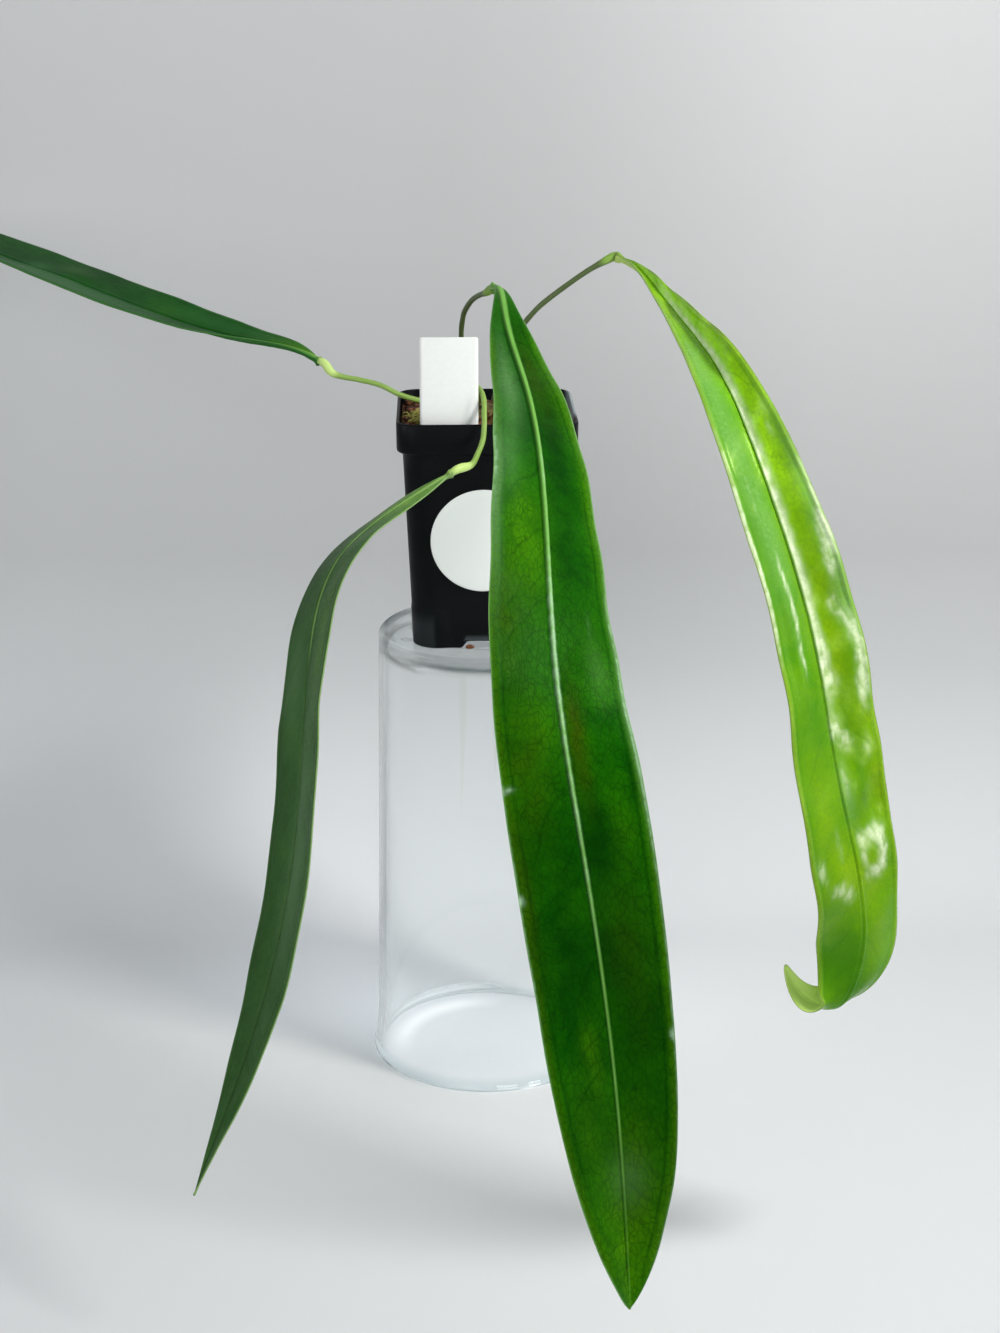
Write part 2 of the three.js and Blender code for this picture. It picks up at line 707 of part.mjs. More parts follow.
add("glass_stand", glassStand(), "glass");
add("pot", pot(), "pot");
add("pot_label", label(), "label");
add("plant_tag", tag(), "tag");
add("substrate", substrate(), "soil");
add("moss", moss(), "moss");
add("crown", crown(), "crown");
for (const leaf of LEAVES) {
  leaf.rows = smoothRows(leaf.stations);
  add(`stalk_${leaf.name}`, stalk(leaf), leaf.stalkFinish);
  add(`blade_${leaf.name}`, blade(leaf), leaf.leafFinish);
}

const outer = new THREE.Box3().setFromObject(group);
const middle = outer.getCenter(new THREE.Vector3());
group.position.set(-middle.x, -middle.y, 0);

export default group;
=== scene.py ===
"""Looks of a potted strap-leaf anthurium: four long pendent leaves in a small square nursery pot, which
stands on an upturned clear glass cylinder in front of a pale paper sweep, in soft light from the right.

Lengths are millimetres, measured from the axis of the glass, whose lip stands on z = 0. place() turns
them into metres in the frame. Every shape is a grid of points worked out from two parameters."""

import math
from types import SimpleNamespace

import bpy
import numpy as np
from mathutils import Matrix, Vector


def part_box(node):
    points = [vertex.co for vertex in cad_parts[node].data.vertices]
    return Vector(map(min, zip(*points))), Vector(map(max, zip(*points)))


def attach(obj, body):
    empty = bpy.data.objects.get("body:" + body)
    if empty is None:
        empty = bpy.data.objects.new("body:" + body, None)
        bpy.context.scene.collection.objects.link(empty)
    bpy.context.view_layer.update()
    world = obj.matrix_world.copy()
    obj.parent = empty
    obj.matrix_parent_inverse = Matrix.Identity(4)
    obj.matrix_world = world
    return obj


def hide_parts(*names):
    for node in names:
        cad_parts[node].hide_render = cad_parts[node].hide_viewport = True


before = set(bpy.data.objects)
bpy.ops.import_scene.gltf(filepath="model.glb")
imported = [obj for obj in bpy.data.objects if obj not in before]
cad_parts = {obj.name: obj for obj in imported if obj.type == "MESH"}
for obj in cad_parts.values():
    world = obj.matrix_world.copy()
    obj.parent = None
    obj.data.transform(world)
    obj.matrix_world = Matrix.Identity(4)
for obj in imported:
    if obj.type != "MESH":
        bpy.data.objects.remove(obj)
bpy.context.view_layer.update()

MM = 0.001
glass_low, glass_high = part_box("glass_stand")
pot_low, pot_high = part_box("pot")
AXIS = np.array([(glass_low.x + glass_high.x) / 2, (glass_low.y + glass_high.y) / 2, 0]) / MM
GLASS_TOP = glass_high.z / MM
POT_BASE = pot_low.z / MM
POT_TOP = pot_high.z / MM
POT_RIM = (pot_high.x - pot_low.x) / MM + 0.2  # the solid's bevel takes 0.1 off each side
POT_FOOT = 54.0
POT_NECK = 60.4
COLLAR_BASE = POT_TOP - 11
SOIL_TOP = 252.0
TAG_SPOT = (-13.5, -28.3)


def leaf_values(**values):
    """A leaf's values, with the common ones where it gives none."""
    return SimpleNamespace(**{**COMMON, **values})


# The four leaves. Stations run from the neck to the tip: a point on the midrib and the way the upper
# face looks. The stalk's points run from the crown. fold is the angle in degrees by which each half folds
# up, at the places fold_at along the blade. gutter, shoulder and lip have a value for the left half and
# one for the right half, where u is above zero, and rib_half has one for the neck and one for the tip.
COMMON = dict(
    skew=1, point=0, rows=420, columns=71, gleam_line=0, rib_half=(0.7, 0.45), gutter=(0, 0),
    shoulder=(0.1, 0.1), keel=0.8, spacing=12, vein_depth=0.03, pillow=0.05, lip=(0.1, 0.1), sway=0.15,
)
LEAVES = {
    "front": leaf_values(
        width=40.1, base=1.15, taper=0.75, flat=1.45, fold=(6, 0, 20), fold_at=(0, 0.46, 1), wave=0.5,
        quilt=0.25, rows=500, columns=95, groove=0.85, rib=0.7, rib_half=(1.2, 0.4), pale_rib=2,
        gutter=(0.4, 0.1), shoulder=(0, 0), keel=0.7, spacing=12.5, vein_depth=0.035, inset=3.2, roll=0.7,
        lip=(0, 0), sway=0.35, seed=3, stalk_side=(1, 0, 0),
        stations=(
            (2, -39.3, 305.4, -0.32, 0.15, 0.94), (3.6, -49, 306.4, -0.16, -0.12, 0.98),
            (5.5, -69.1, 299.2, -0.01, -0.41, 0.91), (10.7, -105.1, 283.9, 0.27, -0.35, 0.9),
            (14.3, -158.2, 257.7, 0.44, -0.45, 0.78), (16, -209.7, 217.5, 0.26, -0.69, 0.67),
            (23.3, -242, 172, -0.14, -0.88, 0.45), (30.3, -262, 119.2, -0.14, -0.97, 0.22),
            (34.4, -271, 54.1, 0.56, -0.83, 0.07),
        ),
        stalk=(
            (-3.5, 2.5, 257.5), (-3.8, 2.4, 259.5), (-6, 1.6, 265), (-8.6, -1, 275), (-8.9, -4, 283),
            (-8, -9.5, 291.5), (-5.2, -18, 297.8), (-1.9, -28, 301.6), (-0.2, -32.8, 303),
        ),
    ),
    "right": leaf_values(
        width=35.5, base=0.5, taper=0.35, flat=0.85, skew=1.78, point=0.75, fold=(52, 47, 27, 5, -30),
        fold_at=(0, 0.23, 0.43, 0.75, 1), wave=0.5, quilt=1.1, rows=500, columns=95, groove=0.4,
        gleam_line=1, rib=-0.12, rib_half=(0.45, 0.35), pale_rib=0.2, shoulder=(0.05, 0.28), keel=0.9,
        spacing=14, vein_depth=0.05, inset=2.3, roll=0.3, lip=(0.3, 0.3), sway=0.5, seed=8,
        stalk_side=(0, 1, 0),
        stations=(
            (47.2, -8, 311.3, -0.18, -0.09, 0.98), (51.5, -21.6, 310.4, -0.42, -0.22, 0.88),
            (58.7, -55.8, 304.5, -0.44, -0.22, 0.87), (66.9, -100.5, 296.7, -0.54, -0.27, 0.8),
            (73.7, -137, 284.6, -0.31, -0.52, 0.8), (83.6, -155.4, 257.6, 0.14, -0.94, 0.32),
            (96.3, -163, 215.8, 0.42, -0.88, 0.22), (105.4, -166, 171.3, 0.53, -0.84, 0.11),
            (115.3, -163.8, 128, 0.48, -0.88, -0.03), (114.8, -160.8, 103.6, 0.25, -0.95, -0.18),
            (107.2, -157.8, 90.4, 0.2, -0.43, -0.88), (99.4, -155.5, 93.5, -0.32, 0.82, -0.47),
            (93.4, -154, 104.4, -0.02, 0.99, -0.11),
        ),
        stalk=(
            (3.5, 1.5, 257.5), (3.7, 1.5, 259.5), (4.9, 1.2, 265), (7.6, 0.4, 273), (12.5, -1.2, 284.5),
            (18.5, -2.8, 292.3), (26.5, -4, 299), (35.3, -5.6, 305.5), (41, -6.2, 309),
        ),
    ),
    "hanging": leaf_values(
        width=31.1, base=1, taper=1.15, flat=1.31, fold=(-7.6, 8.9, 2.3), fold_at=(0, 0.42, 1), wave=0.2,
        quilt=0.3, groove=0.85, rib=-0.25, pale_rib=0.3, inset=2.4, roll=0.2, seed=5, stalk_side=(1, 0, 0),
        stations=(
            (-13, -54, 244.2, -0.21, -0.49, 0.85), (-19.8, -57.2, 240.8, -0.31, -0.3, 0.9),
            (-34.9, -66.6, 233, -0.45, -0.04, 0.89), (-51.7, -86.2, 221.3, -0.67, -0.09, 0.74),
            (-60.2, -114.6, 192.3, -0.87, -0.37, 0.33), (-63.6, -147.4, 147.7, -0.86, -0.36, 0.36),
            (-73.6, -172.5, 102.2, -0.78, -0.44, 0.44), (-95.7, -195, 47.1, -0.76, -0.41, 0.5),
        ),
        stalk=(
            (-1.5, -4.5, 257.5), (-1.6, -4.8, 259.5), (-2.8, -7.5, 263.5), (-4.6, -12, 266),
            (-4.2, -19, 267.8), (-2.4, -24.5, 267), (-1.3, -29, 264.6), (-1.2, -33, 261),
            (-1.3, -36.5, 256.8), (-1.9, -40, 252.5), (-3.6, -44, 249), (-5.9, -48.8, 246),
        ),
    ),
    "left": leaf_values(
        width=38, base=0.88, taper=0.46, flat=1.49, fold=(20, 9, 12), fold_at=(0, 0.4, 1), wave=0.12,
        quilt=0.2, groove=0.15, rib=-0.1, pale_rib=0.08, pillow=0.06, inset=2.6, roll=0.3, seed=12,
        stalk_side=(0, 1, 0),
        stations=(
            (-60.3, 1.8, 273, 0.2, -0.2, 0.96), (-64.3, 5, 274.6, 0.1, -0.08, 0.99),
            (-87, 21.8, 276.8, 0.09, -0.07, 0.99), (-127, 50, 283, 0.09, -0.08, 0.99),
            (-192, 98, 298, 0.14, -0.01, 0.99), (-237, 132, 296, -0.32, 0.16, 0.93),
            (-268, 156, 255, -0.76, 0.43, 0.49),
        ),
        stalk=(
            (-9.5, -1.2, 255.4), (-13, -1, 256.3), (-18, -0.6, 257.2), (-24, -0.2, 258.4),
            (-31.2, 0, 260.6), (-38.4, 0, 264.2), (-46, 0, 266.2), (-52, -0.2, 267.4),
            (-55.8, -0.3, 268.9),
        ),
    ),
}

# Places on the blades in per cent: along from 0 at the neck to 100 at the tip, across from -100 at the
# left margin to 100 at the right one, length and width. Then a strength, in millimetres for bumps.
BUMPS = {
    "front": [(43.4, -50, 5, 40, 0.5), (50.4, 55, 4, 30, 0.5), (64, 40, 5, 30, -0.5)],
    "right": [
        (58.4, -50, 7, 16, 0.9), (60.8, 72, 3.5, 25, 0.9), (55.4, 45, 3, 25, -0.6),
        (65.7, 35, 3, 25, -0.7), (67.8, 70, 2.5, 30, 0.8), (72.3, 30, 3, 22, 0.9), (73.6, 72, 3, 20, -0.9),
        (78.2, 45, 3, 30, 1.1), (79.1, -50, 3, 30, 0.9), (47.8, 70, 3, 25, 0.6), (43.4, 50, 3, 25, -0.4),
        (49.3, -60, 4, 20, 0.5), (89.6, 30, 3, 40, 0.5),
    ],
    "hanging": [(50, 40, 6, 30, 0.4), (65, -40, 5, 30, -0.4)],
    "left": [(30, 40, 5, 30, 0.5), (45, -30, 4, 30, 0.6), (55, 30, 4, 40, -0.6)],
}
# Colour patches per leaf: the lighter and darker ones are partly own tone and partly painted light and shade,
# the olive ones on the lime leaf are a painted glow of light through it, and the last two kinds are painted
# sheen and painted highlights.
PATCHES = {
    "front": {
        "light": [
            (39.2, -40, 6, 40, 0.8), (18.7, 75, 6, 30, 0.55), (32.1, 90, 8, 15, 0.5),
            (48.4, 60, 4, 25, 0.2), (55.2, -35, 3, 25, 0.35), (79, -33, 1.2, 12, 0.7),
            (81.6, -28, 1.4, 12, 0.45), (96.5, 10, 7, 90, 0.9), (84.9, -55, 3, 20, 0.3),
            (14.5, -95, 4, 12, 0.6), (64, 62, 3, 20, 0.2), (86.5, 30, 3, 40, 0.3),
        ],
        "dark": [
            (26, 40, 12, 35, 0.95), (44, -50, 6, 40, 0.35), (23, -25, 8, 20, 0.4), (64, 25, 3.5, 25, 0.9),
            (68.7, -35, 10, 45, 0.55), (74.8, 35, 8, 35, 0.5), (40.4, 30, 6, 30, 0.45),
            (73.3, -50, 4, 30, 0.4), (83.2, -50, 2, 25, 0.4), (60.3, 86, 2, 10, 0.5),
        ],
        "warm": [
            (58.2, -62, 5, 28, 0.4), (56.1, 17, 4.5, 14, 0.75), (46.4, -75, 5, 20, 0.35),
            (71.8, 45, 4, 35, 0.2), (17.3, 30, 6, 30, 0.4), (77.1, 60, 5, 30, 0.1),
            (67.2, -88, 6, 10, 0.4), (90.7, 20, 4, 50, 0.3),
        ],
        "bloom": [
            (18.7, -55, 7, 28, 0.6), (34, -93, 10, 10, 0.7), (29.8, -70, 4, 20, 0.3),
            (49.9, 62, 2.5, 14, 0.15), (89.5, 10, 2, 35, 0.35), (52.1, 96, 9, 5, 0.5),
        ],
        "gleam": [
            (30, -96, 8, 5, 0.55), (55, 98, 14, 3, 0.9), (78, 98.5, 10, 2, 0.6), (70, -98.5, 14, 2, 0.5),
            (46, 60, 1.5, 5, 0.25), (48, 0, 9, 5, 0.9), (30, 1, 5, 4, 0.5), (64, 0, 10, 4, 0.5),
            (59.7, -95, 0.25, 12, 1.1), (67.8, -97, 0.4, 6, 1.3), (78.6, 97, 0.4, 6, 1),
        ],
    },
    "right": {
        "light": [
            (45.6, 40, 12, 35, 0.6), (60, 30, 12, 30, 0.6), (70.1, 80, 8, 25, 0.6),
            (71.8, -50, 6, 40, 0.35), (87.2, 50, 3, 40, 0.4), (5.8, 0, 3, 100, 0.5), (80, 30, 4, 60, 0.4),
            (79, -30, 4, 60, 0.4), (17, -60, 10, 50, 0.8),
        ],
        "dark": [
            (48, 40, 5, 18, 0.5), (56.5, 35, 2, 20, 0.3), (71.4, 42, 3, 14, 0.5), (64.9, -30, 3, 30, 0.3),
            (87, -30, 4, 50, 0.5), (92.1, 20, 3, 70, 0.6), (69, 60, 2, 15, 0.4), (65.5, 35, 2, 15, 0.5),
            (63, 50, 1.2, 30, 0.3), (45, -50, 13, 50, 0.5),
        ],
        "warm": [(26, 50, 12, 60, 1), (10, 50, 9, 80, 0.9), (42, 50, 8, 40, 0.5)],
        "bloom": [
            (36.4, -60, 14, 40, 0.45), (49.3, -35, 6, 25, 0.35), (88, 75, 3, 25, 0.3),
            (47, 90, 8, 25, 0.6), (54, 90, 5, 15, 0.4), (72, 12, 3, 12, 0.5),
        ],
        "gleam": [
            (38.5, 75, 1.2, 12, 0.35), (40.5, 62, 1.2, 12, 0.45), (47, 97, 5, 10, 0.7),
            (49.5, 86, 1.8, 14, 0.9), (52, 74, 1.8, 12, 0.8), (55.6, 60, 1.2, 14, 0.6),
            (57.5, 78, 1.4, 16, 0.75), (60, 86, 2, 12, 1), (63.2, 80, 2, 14, 0.9), (60, 16, 3, 12, 0.75),
            (62.2, 30, 1.2, 14, 0.5), (66, 12, 1.2, 14, 0.8), (67.5, 32, 1, 16, 0.75), (71, 14, 2, 9, 0.5),
            (68.5, 72, 1.2, 14, 0.45), (76.5, 50, 0.9, 26, 0.95), (78.5, 62, 1.8, 14, 1),
            (80, 40, 0.9, 20, 0.85), (77.5, 20, 2, 10, 0.6), (77.5, -78, 1.4, 12, 0.65),
            (80, -50, 0.8, 22, 0.7), (81.2, -25, 0.9, 16, 0.6), (76, -30, 2, 10, 0.35), (47, -95, 7, 7, 1),
            (54, -96, 5, 5, 0.8), (52, -40, 2, 8, 0.75), (55.5, -36, 2, 8, 0.95), (59, -42, 1.8, 8, 0.7),
            (96.5, 50, 1.5, 60, 0.7), (45, -55, 3, 6, 0.3),
        ],
    },
    "hanging": {
        "light": [(7, 0, 6, 200, 0.9), (33, 60, 10, 30, 0.3)],
        "dark": [(20, -60, 10, 40, 0.5), (55, -85, 30, 25, 0.4), (80, 0, 12, 100, 0.35)],
        "warm": [],
        "bloom": [(36, -50, 7, 40, 0.35), (60, 30, 12, 40, 0.3)],
        "gleam": [(60, 95, 20, 5, 0.3)],
    },
    "left": {
        "light": [(5, 0, 5, 200, 0.8), (28, -30, 4, 30, 0.4), (47, -50, 2, 20, 0.6)],
        "dark": [(42, -60, 6, 40, 0.6), (55, -20, 5, 40, 0.5), (20, 30, 8, 40, 0.3)],
        "warm": [],
        "bloom": [(45, 50, 20, 50, 0.45), (52, -10, 2, 30, 0.4), (20, -50, 10, 30, 0.25)],
        "gleam": [(30, 90, 20, 8, 0.25)],
    },
}


# Meshes

def place(points):
    """Millimetres from the glass axis to metres in the frame."""
    return (np.asarray(points, float) + AXIS) * MM


def xyz(x, y, z):
    """Points from their three coordinates, each given for all points or for part of the grid."""
    return np.stack(np.broadcast_arrays(x, y, z), -1)


def unit(vectors):
    """The vectors, each divided by its length."""
    return vectors / np.linalg.norm(vectors, axis=-1, keepdims=True)


def hump(x, at, width, power=2):
    """One where x is at that place, and falling off to nothing on both sides."""
    return np.exp(-(((x - at) / width) ** power))


def ease(low, high, x):
    """Zero below low, one above high, and a smooth step between."""
    share = np.clip((x - low) / (high - low), 0, 1)
    return share * share * (3 - 2 * share)


def turns(count):
    """The angles of that many points round a circle."""
    return np.arange(count) * 2 * np.pi / count


def waves(x, y, size, seed):
    """A smooth random field from about -1 to 1: sines of seeded directions and phases in three
    octaves, each half the size and half the height of the one before."""
    random = np.random.default_rng(seed)
    total = np.zeros(np.broadcast(x, y).shape)
    for octave in range(3):
        for _ in range(5):
            turn, phase = random.uniform(0, 2 * np.pi, 2)
            pace = 2 * np.pi * random.uniform(0.7, 1.3) * 2**octave / size
            total += np.sin(pace * (x * np.cos(turn) + y * np.sin(turn)) + phase) / 2**octave
    return total / 4.5


def tubes(lines, radius, around, side):
    """Rings round centre lines (blocks, steps, 3): each ring's plane is square to its line, and its
    first axis is square to the vector side. radius is given per block, step and point round."""
    along = unit(np.gradient(lines, axis=1))
    first = unit(np.cross(along, side))
    second = np.cross(along, first)
    turn = turns(around)[:, None]
    spokes = first[:, :, None] * np.cos(turn) + second[:, :, None] * np.sin(turn)
    return lines[:, :, None] + spokes * radius[..., None]


def add_object(name, data):
    """A new object in the scene that shows the data."""
    thing = bpy.data.objects.new(name, data)
    bpy.context.scene.collection.objects.link(thing)
    return thing


def add_mesh(name, points, quads, fans, finish):
    """A smooth mesh at the origin, from points in millimetres and faces with four and three corners."""
    mesh = bpy.data.meshes.new(name)
    mesh.vertices.add(len(points))
    mesh.vertices.foreach_set("co", place(points).astype(np.float32).ravel())
    corners = np.concatenate([quads.ravel(), fans.ravel()])
    starts = np.concatenate([np.arange(len(quads)) * 4, quads.size + np.arange(len(fans)) * 3])
    mesh.loops.add(len(corners))
    mesh.loops.foreach_set("vertex_index", corners.astype(np.int32))
    mesh.polygons.add(len(starts))
    mesh.polygons.foreach_set("loop_start", starts.astype(np.int32))
    mesh.polygons.foreach_set("use_smooth", np.ones(len(starts), bool))
    mesh.update(calc_edges=True)
    mesh.validate()
    mesh.materials.append(finish)
    return add_object(name, mesh), corners


def skins(name, rings, finish, slot=None, marks=None, sheet=None):
    """A mesh of closed skins, one for each block of rings (blocks, rings, points round, 3). Neighbouring
    rings are joined by four-sided faces, and both ends close in a fan from the ring's mean point.
    marks are float values and sheet is a flat coordinate, each given for every ring point."""
    blocks, count, around, _ = rings.shape
    size = count * around + 2
    last = (count - 1) * around

    def with_ends(values):
        """The values of each block's ring points and their means at its two ends, in one long row."""
        parts = values.shape[3:]
        ends = values[:, [0, -1]].mean(axis=2)
        return np.concatenate([values.reshape(blocks, -1, *parts), ends], axis=1).reshape(-1, *parts)

    points = with_ends(rings)
    k, i = np.meshgrid(np.arange(count - 1) * around, np.arange(around), indexing="ij")
    j = (i + 1) % around
    quads = np.stack([k + i, k + j, k + around + j, k + around + i], -1)
    i, j, hub = np.arange(around), j[0], np.full(around, size - 2)
    fans = np.concatenate([np.stack([hub, j, i], -1), np.stack([hub + 1, last + i, last + j], -1)])
    offset = (np.arange(blocks) * size)[:, None, None]
    quads = (quads.reshape(1, -1, 4) + offset).reshape(-1, 4)
    fans = (fans[None] + offset).reshape(-1, 3)
    a, b, c, d = (points[quads[:, n]] for n in range(4))
    volume = np.einsum("ij,ij->", a, np.cross(b, c)) + np.einsum("ij,ij->", a, np.cross(c, d))
    a, b, c = (points[fans[:, n]] for n in range(3))
    volume += np.einsum("ij,ij->", a, np.cross(b, c))
    if volume < 0:
        quads, fans = quads[:, ::-1], fans[:, ::-1]
    thing, corners = add_mesh(name, points, quads, fans, finish)
    for mark, values in (marks or {}).items():
        layer = thing.data.attributes.new(mark, "FLOAT", "POINT")
        layer.data.foreach_set("value", with_ends(values).astype(np.float32))
    if sheet is not None:
        layer = thing.data.uv_layers.new(name="sheet")
        layer.data.foreach_set("uv", with_ends(sheet)[corners].astype(np.float32).ravel())
    if slot:
        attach(thing, "root")
    return thing


# Materials

def ink(red, green, blue):
    """A colour in screen values from 0 to 255, turned to linear light."""
    share = (np.array([red, green, blue]) / 255 + 0.055) / 1.055
    return (*(share**2.4), 1)


class Finish:
    """A material whose nodes are added one at a time. An input given as a number or a colour is set, and
    one given as another node's output is linked. A colour has three screen values from 0 to 255, or four
    of linear light."""

    def __init__(self, name, **shader):
        self.material = bpy.data.materials.new(name)
        self.material.use_nodes = True
        self.tree = self.material.node_tree
        self.shader = self.tree.nodes["Principled BSDF"]
        self.fill(self.shader, shader)

    def fill(self, node, inputs):
        for key, value in inputs.items():
            socket = node.inputs[key.replace("_", " ")] if isinstance(key, str) else node.inputs[key]
            if isinstance(value, bpy.types.NodeSocket):
                self.tree.links.new(value, socket)
            elif socket.type == "RGBA" and len(value) == 3:
                socket.default_value = ink(*value)
            else:
                socket.default_value = value

    def add(self, kind, inputs, **settings):
        node = self.tree.nodes.new("ShaderNode" + kind)
        for key, value in settings.items():
            setattr(node, key, value)
        self.fill(node, inputs)
        return node

    def where(self, stretch=(1, 1, 1), sheet=False):
        """Object coordinates, or the flat map of the piece, stretched."""
        if sheet:
            source = self.add("UVMap", {}, uv_map="sheet").outputs["UV"]
        else:
            source = self.add("TexCoord", {}).outputs["Object"]
        return self.stretched(source, stretch)

    def stretched(self, vector, stretch):
        return self.add("Mapping", {"Vector": vector, "Scale": stretch}).outputs["Vector"]

    def parts(self, vector):
        return self.add("SeparateXYZ", {"Vector": vector}).outputs

    def noise(self, vector, scale, detail=3, rough=0.5, warp=0):
        inputs = {"Vector": vector, "Scale": scale, "Detail": detail, "Roughness": rough}
        return self.add("TexNoise", {**inputs, "Distortion": warp}).outputs["Fac"]

    def cells(self, vector, scale, feature="DISTANCE_TO_EDGE"):
        return self.add("TexVoronoi", {"Vector": vector, "Scale": scale}, feature=feature).outputs["Distance"]

    def mark(self, name):
        return self.add("Attribute", {}, attribute_name=name).outputs["Fac"]

    def span(self, value, low, high, to_low=0, to_high=1):
        """The value's span from low to high, moved to a new span and held inside it."""
        inputs = {"Value": value, "From_Min": low, "From_Max": high, "To_Min": to_low, "To_Max": to_high}
        return self.add("MapRange", inputs).outputs["Result"]

    def calc(self, operation, first, second=0):
        return self.add("Math", {0: first, 1: second}, operation=operation).outputs[0]

    def times(self, first, second):
        return self.calc("MULTIPLY", first, second)

    def most(self, first, second):
        return self.calc("MAXIMUM", first, second)

    def off(self, value, centre):
        """How far the value is from a centre, either way."""
        return self.calc("ABSOLUTE", self.calc("SUBTRACT", value, centre))

    def mix(self, share, first, second):
        """The first colour, with that share of the second."""
        return self.add("Mix", {0: share, 6: first, 7: second}, data_type="RGBA").outputs[2]

    def bump(self, height, distance, strength):
        """distance is the height of the relief in metres."""
        inputs = {"Height": height, "Distance": distance, "Strength": strength}
        self.fill(self.shader, {"Normal": self.add("Bump", inputs).outputs["Normal"]})

    def surface(self, **inputs):
        self.fill(self.shader, inputs)
        return self.material

    def over(self, share, first, second):
        """The surface becomes the first shader with that share of the second, which is given as a node."""
        both = self.add("MixShader", {0: share, 1: first, 2: second.outputs["BSDF"]}).outputs["Shader"]
        output = next(node for node in self.tree.nodes if node.type == "OUTPUT_MATERIAL")
        self.tree.links.new(both, output.inputs["Surface"])
        return both


def leaf_finish(name, band_share, vein_share, net, grain, gloss, shine, glint, **tones):
    """Leaf skin, from the ground up: two greens in slow patches, the marked lighter and darker patches,
    partly the leaf's own tone and partly painted light and shade, the olive patches, which on the lime leaf
    are a painted glow of light through it, the band outside the margin vein, dark flecks, a dark net and side
    veins, painted sheen, the pale midrib, painted highlights, painted shade in the midrib's groove and the
    gutters beside it, the edge and the paler underside."""
    leaf = Finish(name)
    sheet = leaf.where(sheet=True)
    slow = leaf.noise(sheet, 6, 5, 0.6, 0.5)
    patchy = leaf.noise(sheet, 14, 3, 0.55)
    fine = leaf.noise(sheet, 75, 3, 0.6)
    cracks = leaf.cells(leaf.stretched(sheet, (1, 0.55, 1)), 58)
    ragged = leaf.span(patchy, 0.3, 0.7, 0.6, 1.3)
    # Lighter and darker patches, partly own tone and partly painted light and shade, and olive patches, which
    # on the lime leaf are a painted glow of light through it.
    layers = [(leaf.times(leaf.mark(patch), ragged), patch) for patch in ("light", "dark", "warm")]
    layers += [
        (leaf.times(leaf.mark("band"), band_share), "band"),
        (leaf.span(fine, 0.4, 0.75, 0, 0.3), "dark"),
        (leaf.times(leaf.span(cracks, 0, 0.1, net, 0), ragged), "vein"),
        (leaf.times(leaf.mark("vein"), vein_share), "vein"),
        # painted sheen
        (leaf.times(leaf.mark("bloom"), leaf.span(fine, 0.3, 0.65, 0.55, 1.1)), "bloom"),
        (leaf.mark("rib"), "rib"),
        # painted highlights
        (leaf.times(leaf.mark("gleam"), leaf.span(fine, 0.35, 0.65, 0.7, 1)), "gleam"),
        # painted shade in the sunken midrib and in the gutters beside it
        (leaf.mark("groove"), "vein"),
        (leaf.mark("edge"), "edge"),
        (leaf.mark("under"), "under"),
    ]
    colour = leaf.mix(leaf.span(slow, 0.36, 0.64), tones["deep"], tones["mid"])
    for share, tone in layers:
        colour = leaf.mix(share, colour, tones[tone])
    leaf.bump(leaf.calc("ADD", leaf.times(fine, 0.6), leaf.span(cracks, 0, 0.14, 0, 0.5)), 0.00008, grain)
    rough = leaf.span(fine, 0.3, 0.7, gloss - 0.04, gloss + 0.06)
    rough = leaf.calc("ADD", rough, leaf.times(leaf.mark("under"), 0.25))
    return leaf.surface(Base_Color=colour, Roughness=rough, Specular_IOR_Level=shine, Specular_Tint=glint)


DEEP_LEAF = leaf_finish(
    "deep_green_leaf", deep=(10, 78, 0), mid=(30, 102, 0), light=(72, 136, 2), dark=(2, 58, 0),
    warm=(58, 72, 0), bloom=(96, 140, 84), band=(74, 124, 0), vein=(2, 46, 0), rib=(112, 170, 76),
    edge=(130, 176, 110), under=(96, 138, 62), gleam=(176, 210, 176), glint=(0.35, 0.8, 0.15, 1),
    band_share=0.6, vein_share=0.5, net=0.42, grain=0.6, gloss=0.36, shine=0.035,
)
LIME_LEAF = leaf_finish(
    "lime_leaf", deep=(78, 148, 0), mid=(104, 164, 0), light=(146, 186, 0), dark=(44, 116, 0),
    warm=(176, 246, 0), bloom=(130, 180, 100), band=(160, 194, 60), vein=(48, 116, 0), rib=(160, 200, 50),
    edge=(120, 150, 70), under=(192, 224, 120), gleam=(238, 250, 212), glint=(0.8, 1, 0.3, 1),
    band_share=0.6, vein_share=0.3, net=0.14, grain=0.25, gloss=0.24, shine=0.22,
)
DULL_LEAF = leaf_finish(
    "dull_green_leaf", deep=(36, 84, 24), mid=(52, 100, 36), light=(110, 156, 64), dark=(20, 58, 14),
    warm=(92, 132, 58), bloom=(96, 138, 88), band=(60, 108, 40), vein=(18, 54, 12), rib=(138, 176, 96),
    edge=(140, 172, 110), under=(130, 162, 96), gleam=(170, 200, 140), glint=(0.7, 1, 0.5, 1),
    band_share=0.3, vein_share=0.4, net=0.18, grain=0.5, gloss=0.42, shine=0.22,
)
BLUE_LEAF = leaf_finish(
    "blue_green_leaf", deep=(4, 70, 4), mid=(16, 86, 8), light=(52, 112, 16), dark=(2, 50, 8),
    warm=(60, 110, 20), bloom=(64, 124, 70), band=(40, 100, 34), vein=(4, 44, 8), rib=(130, 180, 84),
    edge=(84, 140, 70), under=(50, 108, 44), gleam=(150, 190, 150), glint=(0.5, 0.9, 0.4, 1),
    band_share=0.3, vein_share=0.4, net=0.18, grain=0.5, gloss=0.36, shine=0.04,
)


